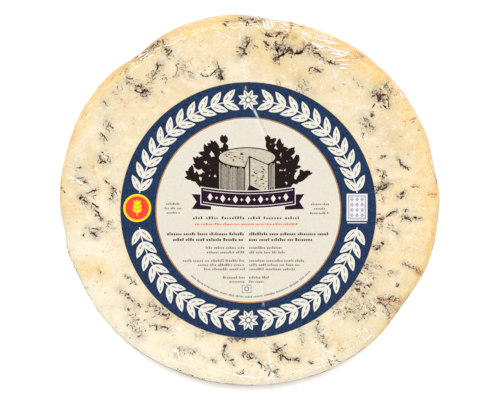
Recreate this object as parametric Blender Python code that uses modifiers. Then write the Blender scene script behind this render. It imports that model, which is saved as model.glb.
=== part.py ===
"""A wheel of blue cheese, cut level and wrapped in clear film, with a round paper label on top.

Metres, +Z up. The origin is the middle of the underside. Run it with
blender --background --python part.py, or from Blender's text editor.
"""

import math

import bpy
from mathutils import Vector, noise

MM = 0.001

# The wheel as a plain disc, before its outline and face are made uneven
WHEEL_RADIUS = 99.9 * MM
WHEEL_HEIGHT = 70.0 * MM
SHOULDER_WIDTH = 5.0 * MM
SHOULDER_DROP = 7.0 * MM
FOOT_RADIUS = 5.0 * MM
SIDE_BULGE = 0.5 * MM

# How finely the disc is divided. The middle of the face is flat and needs only a few rings
TURN_STEPS = 144
FLAT_RINGS = (0.0, 0.34, 0.56)
UNEVEN_FROM = 0.66
UNEVEN_RINGS = 9
SHOULDER_RINGS = 5
SIDE_RINGS = 8
FOOT_RINGS = 4

# Stretches of the outline that are flattened, or swollen where the depth is negative:
# bearing from +X, depth, half width
OUTLINE_FLATS = (
    (12.0, 1.8 * MM, 12.0),
    (26.0, 0.9 * MM, 10.0),
    (41.0, 1.3 * MM, 18.0),
    (77.0, 2.7 * MM, 28.0),
    (126.0, 1.2 * MM, 13.0),
    (150.0, -0.6 * MM, 16.0),
    (168.0, -1.0 * MM, 45.0),
    (189.0, 1.2 * MM, 8.0),
    (213.0, 0.8 * MM, 22.0),
    (268.0, 3.1 * MM, 68.0),
    (306.0, 1.0 * MM, 14.0),
    (325.0, 2.7 * MM, 20.0),
    (346.0, 0.9 * MM, 26.0),
)

# Stretches where the shoulder is broader: bearing, extra width, half width
BROAD_SHOULDERS = (
    (104.0, 4.0 * MM, 34.0),
    (250.0, 5.5 * MM, 34.0),
    (292.0, 3.0 * MM, 30.0),
)

# Pieces broken out of the rim: bearing, half width, depth, reach inwards
RIM_CHIPS = (
    (57.0, 19.0, 3.4 * MM, 19.0 * MM),
    (128.0, 9.0, 2.2 * MM, 11.0 * MM),
    (84.0, 9.0, 1.6 * MM, 10.0 * MM),
    (323.0, 13.0, 1.5 * MM, 10.0 * MM),
    (203.0, 10.0, 1.2 * MM, 9.0 * MM),
)
CHIP_PULL_IN = 0.35

# Uneven cut face and side
FACE_RELIEF = 0.45 * MM
FACE_PATCH = 14.0 * MM
SIDE_RELIEF = 0.9 * MM
SIDE_PATCH = 17.0 * MM
SIDE_SQUEEZE = 1.6
RIM_CALM = 0.6

# The label, a little off the wheel's middle
LABEL_RADIUS = 67.0 * MM
LABEL_THICKNESS = 0.4 * MM
LABEL_CENTRE = Vector((-1.4 * MM, -4.3 * MM))
LABEL_GAP = 0.3 * MM
LABEL_SIDES = 128
FLAT_MARGIN = 2.0 * MM
RELIEF_RAMP = 7.0 * MM

PASTE_COLOUR = (0.87, 0.72, 0.46, 1.0)
PASTE_ROUGHNESS = 0.35
LABEL_COLOUR = (0.035, 0.065, 0.16, 1.0)
LABEL_ROUGHNESS = 0.6
SHARP_EDGE = math.radians(50.0)
MERGE_DISTANCE = 0.01 * MM


def clear_scene():
    """Removes whatever the file holds."""
    for obj in list(bpy.data.objects):
        bpy.data.objects.remove(obj, do_unlink=True)


def make_material(name, colour, roughness):
    """A plain dielectric finish."""
    material = bpy.data.materials.new(name)
    material.use_nodes = True
    shader = material.node_tree.nodes["Principled BSDF"]
    shader.inputs["Base Color"].default_value = colour
    shader.inputs["Roughness"].default_value = roughness
    shader.inputs["Metallic"].default_value = 0.0
    material.diffuse_color = colour
    return material


def bump(angle, bearing, half_width):
    """1 at the bearing, falling smoothly to 0 at half_width degrees on either side."""
    away = (math.degrees(angle) - bearing + 180.0) % 360.0 - 180.0
    if abs(away) >= half_width:
        return 0.0
    return math.cos(math.pi / 2 * away / half_width) ** 2


def outline_radius(angle):
    """Distance from the middle to the wheel's side at this bearing."""
    flattened = sum(depth * bump(angle, at, wide) for at, depth, wide in OUTLINE_FLATS)
    return WHEEL_RADIUS - flattened


def shoulder_width(angle):
    """How far in from the side the face starts to fall at this bearing."""
    extra = sum(more * bump(angle, at, wide) for at, more, wide in BROAD_SHOULDERS)
    return SHOULDER_WIDTH + extra


def chip_depth(angle, from_side):
    """How much of the rim is missing at this bearing and distance in from the side."""
    depth = 0.0
    for bearing, half_width, deepest, reach in RIM_CHIPS:
        if from_side < reach:
            fade = math.cos(math.pi / 2 * max(from_side, 0.0) / reach) ** 2
            depth += deepest * fade * bump(angle, bearing, half_width)
    return depth


def arc(start, end, steps, centre, radii):
    """Points along a quarter of an ellipse, in degrees from +X, without its first point."""
    turns = (start + (end - start) * (i + 1) / steps for i in range(steps))
    return [
        (centre[0] + radii[0] * math.cos(t), centre[1] + radii[1] * math.sin(t))
        for t in map(math.radians, turns)
    ]


def wheel_profile():
    """Half the wheel's section, from the middle of the face down to the middle of the foot."""
    face_edge = WHEEL_RADIUS - SHOULDER_WIDTH
    side_top = WHEEL_HEIGHT - SHOULDER_DROP
    uneven_start = UNEVEN_FROM * face_edge
    uneven_gap = (face_edge - uneven_start) / UNEVEN_RINGS
    rings = [share * face_edge for share in FLAT_RINGS]
    rings += [uneven_start + uneven_gap * i for i in range(UNEVEN_RINGS + 1)]
    points = [(radius, WHEEL_HEIGHT) for radius in rings]
    points += arc(90, 0, SHOULDER_RINGS, (face_edge, side_top), (SHOULDER_WIDTH, SHOULDER_DROP))
    side_gap = (side_top - FOOT_RADIUS) / SIDE_RINGS
    for i in range(1, SIDE_RINGS + 1):
        bulge = SIDE_BULGE * math.sin(math.pi * i / SIDE_RINGS)
        points.append((WHEEL_RADIUS + bulge, side_top - side_gap * i))
    foot_edge = WHEEL_RADIUS - FOOT_RADIUS
    points += arc(0, -90, FOOT_RINGS, (foot_edge, FOOT_RADIUS), (FOOT_RADIUS, FOOT_RADIUS))
    points.append((0.0, 0.0))
    return points


def turned(name, profile):
    """A closed mesh object made by turning the profile round the Z axis."""
    line = bpy.data.meshes.new(name + "_profile")
    edges = [(i, i + 1) for i in range(len(profile) - 1)]
    line.from_pydata([(radius, 0.0, height) for radius, height in profile], edges, [])
    guide = bpy.data.objects.new(name + "_guide", line)
    bpy.context.scene.collection.objects.link(guide)
    screw = guide.modifiers.new("Turn", "SCREW")
    screw.steps = TURN_STEPS
    screw.render_steps = TURN_STEPS
    screw.use_merge_vertices = True
    screw.merge_threshold = MERGE_DISTANCE
    bpy.context.view_layer.update()
    evaluated = guide.evaluated_get(bpy.context.evaluated_depsgraph_get())
    mesh = bpy.data.meshes.new_from_object(evaluated)
    mesh.name = name
    bpy.data.objects.remove(guide, do_unlink=True)
    return bpy.data.objects.new(name, mesh)


def smooth_step(value):
    """0 below 0, 1 above 1, and a smooth rise between."""
    share = min(max(value, 0.0), 1.0)
    return share * share * (3.0 - 2.0 * share)


def face_relief(place, angle, from_side):
    """Height of the cut face over its level: flat under the label, uneven round it, low at chips."""
    past_label = (place - LABEL_CENTRE).length - LABEL_RADIUS - FLAT_MARGIN
    share = smooth_step(past_label / RELIEF_RAMP)
    ripple = noise.noise(Vector((place.x, place.y, 0.0)) / FACE_PATCH)
    return share * (FACE_RELIEF * ripple - chip_depth(angle, from_side))


def real_radius(plain_radius, height, angle):
    """The plain disc's radius, stretched to the real outline and shoulder."""
    side = outline_radius(angle)
    shoulder = shoulder_width(angle)
    if height < WHEEL_HEIGHT - SHOULDER_DROP - SIDE_BULGE:
        return plain_radius * side / WHEEL_RADIUS
    face_edge = WHEEL_RADIUS - SHOULDER_WIDTH
    if plain_radius <= face_edge:
        return plain_radius * (side - shoulder) / face_edge
    return side - (WHEEL_RADIUS - plain_radius) * shoulder / SHOULDER_WIDTH


def side_relief(angle, height):
    """How far the side stands out or in at this bearing and height: calmer near the rim."""
    side = outline_radius(angle)
    place = Vector((side * math.cos(angle), side * math.sin(angle), SIDE_SQUEEZE * height))
    above_foot = smooth_step(height / (2 * FOOT_RADIUS))
    near_top = smooth_step(2 * height / WHEEL_HEIGHT - 1.0)
    dimple = SIDE_RELIEF * noise.noise(place / SIDE_PATCH) * above_foot * (1.0 - RIM_CALM * near_top)
    return dimple - CHIP_PULL_IN * chip_depth(angle, 0.0) * near_top


def shaped(point):
    """Where a point of the plain disc lies on the real, uneven wheel."""
    angle = math.atan2(point.y, point.x)
    radius = real_radius(math.hypot(point.x, point.y), point.z, angle)
    from_side = outline_radius(angle) - radius
    direction = Vector((math.cos(angle), math.sin(angle)))
    height = point.z
    if height > WHEEL_HEIGHT / 2:
        near_top = smooth_step(2 * height / WHEEL_HEIGHT - 1.0)
        height += near_top * face_relief(direction * radius, angle, from_side)
    near_side = smooth_step(1.0 - from_side / (2 * SHOULDER_WIDTH))
    radius += near_side * side_relief(angle, point.z)
    return Vector((direction.x * radius, direction.y * radius, height))


def make_wheel(collection):
    """The cheese in its film: one solid, centred over its own outline."""
    wheel = turned("cheese_wheel", wheel_profile())
    places = [shaped(vertex.co) for vertex in wheel.data.vertices]
    middle = Vector(
        (max(p[axis] for p in places) + min(p[axis] for p in places)) / 2 for axis in (0, 1)
    )
    for vertex, place in zip(wheel.data.vertices, places):
        vertex.co = place - middle.to_3d()
    wheel.data.shade_smooth()
    wheel.data.set_sharp_from_angle(angle=SHARP_EDGE)
    wheel.data.materials.clear()
    wheel.data.materials.append(make_material("paste", PASTE_COLOUR, PASTE_ROUGHNESS))
    collection.objects.link(wheel)
    return middle


def make_label(collection, middle):
    """A round of stiff paper lying just over the flat part of the face."""
    place = LABEL_CENTRE - middle
    height = WHEEL_HEIGHT + LABEL_GAP + LABEL_THICKNESS / 2
    bpy.ops.mesh.primitive_cylinder_add(
        vertices=LABEL_SIDES,
        radius=LABEL_RADIUS,
        depth=LABEL_THICKNESS,
        location=(place.x, place.y, height),
    )
    label = bpy.context.object
    label.name = "label"
    label.data.name = "label"
    label.data.materials.append(make_material("label_print", LABEL_COLOUR, LABEL_ROUGHNESS))
    for owner in list(label.users_collection):
        owner.objects.unlink(label)
    collection.objects.link(label)


def main():
    clear_scene()
    parts = bpy.data.collections.new("Blue cheese wheel")
    bpy.context.scene.collection.children.link(parts)
    middle = make_wheel(parts)
    make_label(parts, middle)


main()
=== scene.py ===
"""The looks of a blue cheese wheel in clear film with a round paper label, seen straight from above.

Metres, +Z up. Places read from the photograph are given in its pixels and turned into metres by spot().
"""

import math
import random

import bmesh
import bpy
import numpy as np
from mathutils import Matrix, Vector, noise
from mathutils.bvhtree import BVHTree
from mathutils.geometry import delaunay_2d_cdt


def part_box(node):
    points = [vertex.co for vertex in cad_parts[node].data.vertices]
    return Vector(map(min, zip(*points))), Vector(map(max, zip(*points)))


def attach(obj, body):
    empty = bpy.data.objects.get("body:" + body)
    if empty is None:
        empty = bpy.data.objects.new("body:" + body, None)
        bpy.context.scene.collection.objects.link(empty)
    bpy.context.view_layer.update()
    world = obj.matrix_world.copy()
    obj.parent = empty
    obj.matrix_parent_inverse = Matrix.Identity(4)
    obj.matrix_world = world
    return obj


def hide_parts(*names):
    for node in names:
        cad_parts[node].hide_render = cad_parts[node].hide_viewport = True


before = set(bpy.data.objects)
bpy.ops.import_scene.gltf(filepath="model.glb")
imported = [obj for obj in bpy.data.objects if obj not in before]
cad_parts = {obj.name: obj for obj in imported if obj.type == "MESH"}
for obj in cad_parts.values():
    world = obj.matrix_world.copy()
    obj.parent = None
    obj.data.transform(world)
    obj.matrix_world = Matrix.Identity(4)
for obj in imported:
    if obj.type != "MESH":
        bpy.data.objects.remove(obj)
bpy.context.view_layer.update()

MM = 0.001

# The photograph: 500 by 400 pixels, the wheel's middle in it, and what a pixel spans on the cut face
PHOTO_WIDTH = 500
PHOTO_HEIGHT = 400
PHOTO_MIDDLE = (249.75, 200.3)
PIXEL = 0.5229 * MM
CAMERA_HEIGHT = 1100.0 * MM
SENSOR = 36.0

# The skin is measured from a line of anchors this far inside the face, the side and the foot
EDGE = 9.0 * MM
FILM_TO_CHEESE = 0.2 * MM

# The level that the label lies on
LABEL_FOOT = 70.0 * MM

# The lowest places of the film, of the cheese in it, and of the slivers
FILM_FOOT = 0.1 * MM
CHEESE_FOOT = 0.15 * MM
SLIVER_FOOT = 0.02 * MM

# How brightly the studio lights a white surface that faces up
FACE_LIGHT = 1.2

# The studio's light from all round, and its sun's strength, width and tilt
ROUND_LIGHT = 0.62
SUN_LIGHT = 0.66 * math.pi
SUN_WIDTH = math.radians(6.0)
SUN_TILT = math.radians(-6.4)
FLOOR_SIZE = 12.0

# How many marks, strokes and folds are made up, and the seeds that they are drawn from
FACE_MARKS = 520
SIDE_STROKES = 110
UNDER_STROKES = 95
RIM_FOLDS = 130
SIDE_FOLDS = 110
UNDER_FOLDS = 150
SEEDS = {"hidden": 11, "mould": 29, "rim": 4, "folds": 17, "picture": 8, "text": 3}

_, wheel_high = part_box("cheese_wheel")
label_low, label_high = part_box("label")
FACE = wheel_high.z
MEAN_RADIUS = (wheel_high.x + wheel_high.y) / 2
LABEL_MIDDLE = (label_low + label_high) / 2
LABEL_RADIUS = (label_high.x - label_low.x) / 2
TURN = 2 * math.pi


def spot(px, py):
    """A place on the cut face, from a pixel of the photograph."""
    return (px - PHOTO_MIDDLE[0]) * PIXEL, (PHOTO_MIDDLE[1] - py) * PIXEL


def pixel_at(bearing, radius):
    """The pixel at a bearing and a distance in pixels from the wheel's middle."""
    return PHOTO_MIDDLE[0] + radius * math.cos(bearing), PHOTO_MIDDLE[1] - radius * math.sin(bearing)


def linear(red, green, blue):
    """A colour from 0 to 255 as the eye sees it, as light."""
    def one(value):
        share = value / 255.0
        return share / 12.92 if share <= 0.04045 else ((share + 0.055) / 1.055) ** 2.4
    return one(red), one(green), one(blue), 1.0


def seen(red, green, blue):
    """The colour that a surface must have to come out as this one under the scene's light."""
    return tuple(channel / FACE_LIGHT for channel in linear(red, green, blue)[:3]) + (1.0,)


def smooth_step(value, low=0.0, high=1.0):
    """0 below low, 1 above high, and a smooth rise between."""
    share = np.clip((np.asarray(value, float) - low) / (high - low), 0.0, 1.0)
    return share * share * (3.0 - 2.0 * share)


def bell(value, middle, width):
    """1 at the middle, falling off to both sides."""
    return np.exp(-(((value - middle) / width) ** 2))


def rumple(points, patch, seed=0.0):
    """Smooth noise from -1 to 1 at each point, with humps about a patch across."""
    shift = Vector((seed, -seed, 0.5 * seed))
    humps = [noise.noise(Vector(p) / patch + shift) for p in points.reshape(-1, 3)]
    return np.array(humps).reshape(points.shape[:-1])


def blur(grid, rows, columns):
    """A grid evened out down its rows and round its closed columns."""
    def weights(spread):
        reach = max(1, int(3 * spread))
        offsets = np.arange(-reach, reach + 1)
        share = np.exp(-0.5 * (offsets / spread) ** 2)
        return offsets, share / share.sum()
    offsets, shares = weights(columns)
    round_about = sum(share * np.roll(grid, offset, axis=1) for offset, share in zip(offsets, shares))
    offsets, shares = weights(rows)
    reach = offsets[-1]
    padded = np.pad(round_about, ((reach, reach), (0, 0)), mode="edge")
    height = grid.shape[0]
    return sum(share * padded[reach + o: reach + o + height] for o, share in zip(offsets, shares))


def ray_tree(mesh):
    """A mesh's surface, ready to be hit by rays."""
    mesh.calc_loop_triangles()
    return BVHTree.FromPolygons([v.co for v in mesh.vertices], [t.vertices for t in mesh.loop_triangles])


def new_piece(name, vertices, faces):
    """A new mesh object in the scene."""
    mesh = bpy.data.meshes.new(name)
    mesh.from_pydata(vertices, [], faces)
    piece = bpy.data.objects.new(name, mesh)
    bpy.context.scene.collection.objects.link(piece)
    return piece


def keep(mesh, name, values):
    """Stores a number at each vertex of a mesh for its material to read."""
    attribute = mesh.attributes.new(name, "FLOAT", "POINT")
    attribute.data.foreach_set("value", values.astype(np.float32))


def skin(face_rings, shoulder_steps, side_steps, foot_steps, under_rings, turns):
    """The model's surface as rings from the face's middle to the underside's middle.

    Gives each point's anchor inside the wheel, the way out from it, and how far out the surface is."""
    tree = ray_tree(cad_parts["cheese_wheel"].data)
    angles = np.linspace(0.0, TURN, turns, endpoint=False)
    around = np.stack([np.cos(angles), np.sin(angles)], axis=1)
    evened = turns / 240

    def outline_at(direction):
        way = Vector((direction[0], direction[1], 0.0))
        start = way * 2 * wheel_high.x + Vector((0.0, 0.0, 0.6 * FACE))
        hit = tree.ray_cast(start, -way)[0]
        return math.hypot(hit.x, hit.y)

    outline = np.array([outline_at(direction) for direction in around])
    outline = blur(outline[None, :], 1, evened)[0]
    side_heights = np.linspace(FACE - EDGE, EDGE, side_steps + 1)[1:]
    rings = [(share, FACE - EDGE, 0.0) for share in face_rings]
    rings += [(1.0, FACE - EDGE, 90.0 * i / shoulder_steps) for i in range(1, shoulder_steps + 1)]
    rings += [(1.0, height, 90.0) for height in side_heights]
    rings += [(1.0, EDGE, 90.0 + 90.0 * i / foot_steps) for i in range(1, foot_steps + 1)]
    rings += [(share, EDGE, 180.0) for share in under_rings]
    anchors = np.zeros((len(rings), turns, 3))
    ways = np.zeros((len(rings), turns, 3))
    reach = np.zeros((len(rings), turns))
    far = 3 * EDGE
    for row, (share, height, tilt) in enumerate(rings):
        anchors[row, :, :2] = around * (share * (outline - EDGE))[:, None]
        anchors[row, :, 2] = height
        ways[row, :, :2] = around * math.sin(math.radians(tilt))
        ways[row, :, 2] = math.cos(math.radians(tilt))
        for column in range(turns):
            way = Vector(ways[row, column])
            hit = tree.ray_cast(Vector(anchors[row, column]) + way * far, -way)
            reach[row, column] = far - hit[3]
    return anchors, ways, blur(reach, 2.0, evened)


def closed_mesh(name, points):
    """A closed mesh from rings of points, with a point added at the middle of each end."""
    rings, turns = points.shape[:2]
    middles = [(0.0, 0.0, points[row, :, 2].mean()) for row in (0, -1)]
    vertices = [middles[0], *map(tuple, points.reshape(-1, 3)), middles[1]]
    last = len(vertices) - 1
    faces = [(0, 1 + i, 1 + (i + 1) % turns) for i in range(turns)]
    for row in range(rings - 1):
        start = 1 + row * turns
        for i in range(turns):
            after = (i + 1) % turns
            faces.append((start + i, start + turns + i, start + turns + after, start + after))
    start = 1 + (rings - 1) * turns
    faces += [(start + (i + 1) % turns, start + i, last) for i in range(turns)]
    piece = new_piece(name, vertices, faces)
    piece.data.shade_smooth()
    return piece


def store(piece, name, values):
    """Keeps a grid of numbers on a closed mesh. The grid has no entries for the end middles."""
    keep(piece.data, name, np.concatenate([[values[0].mean()], values.ravel(), [values[-1].mean()]]))


def nearest(places, start, end):
    """Where on a line each place is nearest, as a share, with the way from there and the line's own way."""
    start = np.array(start)
    along = np.array(end) - start
    share = np.clip(((places - start) @ along) / max(along @ along, 1e-12), 0.0, 1.0)
    return share, places - start - share[..., None] * along, along


def stroke_strength(places, strokes, spread=1.0):
    """The strongest stroke at each place: full along its line, fading out at its half width times spread.

    A stroke is its start and end in the photograph's pixels, half width in pixels, and strength."""
    strongest = np.zeros(places.shape[:-1])
    for start_x, start_y, end_x, end_y, half_width, strength in strokes:
        _, gap, _ = nearest(places, spot(start_x, start_y), spot(end_x, end_y))
        gap = np.linalg.norm(gap, axis=-1)
        near = strength * smooth_step(1.0 - gap / (half_width * PIXEL * spread))
        strongest = np.maximum(strongest, near)
    return strongest


def walk(draw, x, y, heading, length, steps, drift, bend=0.0):
    """A path of even steps whose heading bends and drifts."""
    path = [(x, y)]
    for _ in range(steps):
        heading += bend / steps + draw.gauss(0.0, drift)
        x += length / steps * math.cos(heading)
        y += length / steps * math.sin(heading)
        path.append((x, y))
    return path


def unsteady(draw, start, end, first, steps, wander):
    """Places along a line, each moved a little by a draw."""
    path = []
    for step in range(first, steps + 1):
        share = step / steps
        path.append(tuple(a + share * (b - a) + draw.gauss(0.0, wander) for a, b in zip(start, end)))
    return path


# Mould on the cut face, read from the photograph: start, end, half width in pixels, strength
VEINS = (
    (136, 57, 163, 40, 6, 1.0), (163, 46, 171, 55, 6, 1.1), (125, 70, 131, 83, 5, 0.9),
    (160, 64, 153, 77, 5, 1.0), (152, 77, 148, 84, 3, 0.7), (163, 76, 166, 81, 4, 0.7),
    (138, 86, 146, 94, 7, 1.25), (179, 61, 184, 70, 5, 0.9), (184, 70, 192, 76, 5, 0.9),
    (178, 73, 175, 77, 3, 0.8), (215, 61, 221, 71, 3, 0.8), (221, 71, 220, 77, 5, 1.15),
    (217, 77, 203, 76, 2.5, 0.8), (248, 40, 240, 55, 6, 1.2), (226, 23, 236, 21, 4, 0.9),
    (240, 18, 262, 20, 5, 1.1), (120, 85, 115, 93, 5, 0.65), (104, 100, 105, 105, 4, 0.65),
    (107, 120, 110, 132, 5, 0.8), (101, 134, 104, 142, 4, 0.7), (100, 155, 104, 164, 5, 0.85),
    (104, 152, 110, 161, 4, 0.75), (77, 167, 83, 169, 3, 0.7), (77, 178, 87, 182, 4, 0.8),
    (105, 179, 108, 184, 2, 1.1), (112, 187, 113, 200, 4, 1.1), (112, 199, 109, 201, 3, 0.9),
    (80, 196, 90, 206, 4, 1.15), (90, 206, 102, 219, 4, 1.0), (87, 194, 97, 190, 3.5, 0.9),
    (107, 222, 114, 229, 4, 0.7), (88, 229, 96, 236, 4.5, 1.05), (97, 229, 105, 231, 4, 0.8),
    (83, 234, 83, 237, 2, 0.9), (99, 269, 100, 274, 2.5, 0.9), (125, 275, 136, 284, 2, 1.15),
    (118, 289, 139, 306, 3.5, 0.95), (150, 305, 168, 316, 6, 1.05), (129, 309, 140, 336, 7, 0.85),
    (150, 325, 171, 329, 4, 0.9), (178, 350, 195, 351, 5, 0.85), (196, 336, 211, 332, 4, 0.75),
    (225, 344, 226, 356, 3, 1.1), (226, 357, 233, 364, 3.5, 1.05), (212, 360, 215, 362, 3, 1.0),
    (229, 339, 246, 340, 3.5, 1.1), (244, 354, 254, 356, 4, 1.15), (254, 358, 268, 366, 3, 0.9),
    (268, 366, 278, 376, 4, 0.95), (238, 374, 243, 372, 2, 1.0), (275, 347, 284, 357, 5.5, 1.15),
    (284, 358, 298, 360, 3.5, 1.05), (309, 362, 313, 363, 2, 1.0), (298, 325, 303, 341, 3.5, 0.7),
    (318, 329, 326, 346, 5, 0.9), (319.5, 321, 320, 322, 2, 1.4), (336, 303, 338, 313, 4, 0.8),
    (345, 300, 352, 296, 5, 0.8), (368, 262, 372, 280, 6, 0.8), (366, 300, 372, 310, 6, 0.75),
    (356, 299, 360, 312, 6, 0.75), (384, 308, 390, 318, 5, 0.8), (330, 306, 345, 314, 5, 0.7),
    (353, 284, 364, 294, 6, 0.9), (372, 246, 379, 249, 5, 0.8), (146, 46, 160, 44, 6, 1.0),
    (346, 309, 353, 312, 3.5, 1.1), (353, 282, 371, 285, 5, 1.0), (360, 288, 364, 296, 4, 1.0),
    (356, 318, 374, 312, 4, 0.95), (377, 300, 400, 300, 6, 0.95), (387, 306, 397, 311, 5, 0.9),
    (397, 286, 398, 285, 2, 1.1), (388, 272, 398, 273, 3, 0.7), (404, 263, 421, 273, 3.5, 0.95),
    (363, 266, 380, 268, 4, 0.8), (374, 249, 383, 243, 4, 1.05), (389, 224, 398, 234, 4, 0.7),
    (377, 221, 397, 211, 3, 1.2), (375, 219, 381, 226, 4, 1.0), (403, 217, 412, 219, 3.5, 1.0),
    (414, 218, 421, 219, 2.5, 1.2), (405, 210, 408, 211, 2, 1.0), (397, 197, 405, 192, 3.5, 1.15),
    (376, 190, 387, 184, 5.5, 1.2), (384, 172, 383, 178, 2.5, 1.3), (376, 170, 379, 171, 3, 0.9),
    (384, 197, 383, 202, 3, 0.75), (398, 158, 403, 166, 2.5, 1.2), (403, 166, 409, 168, 2.5, 1.1),
    (380, 158, 386, 156, 2, 1.0), (363, 119, 372, 129, 6, 0.85), (371, 112, 373, 116, 2.5, 1.15),
    (375, 92, 384, 101, 7, 1.2), (385, 84, 391, 92, 5, 0.9), (388, 97, 389, 107, 4, 0.95),
    (355, 79, 361, 86, 3, 0.5), (300, 80, 305, 92, 6, 0.75), (309, 87, 314, 95, 4, 0.5),
    (277, 81, 280, 82, 3, 0.8), (311, 70, 321, 71, 5, 1.0), (352, 57, 362, 55, 4, 0.9),
    (305, 46, 318, 54, 5, 1.1), (318, 54, 326, 61, 3, 1.0), (326, 61, 338, 65, 2.5, 1.05),
    (266, 42, 270, 48, 4, 1.1), (275, 48, 290, 50, 6, 1.3), (279, 54, 276, 60, 5, 1.25),
    (290, 54, 303, 49, 3, 1.15), (264, 33, 280, 34, 3, 1.0), (282, 44, 292, 48, 5, 1.0),
    (306, 46, 316, 50, 5, 1.0), (282, 36, 294, 36, 4, 0.9), (276, 35, 282, 31, 2, 1.2),
    (362, 134, 363, 135, 1.5, 1.2), (254, 45, 257, 48, 3, 0.5),
)

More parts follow.
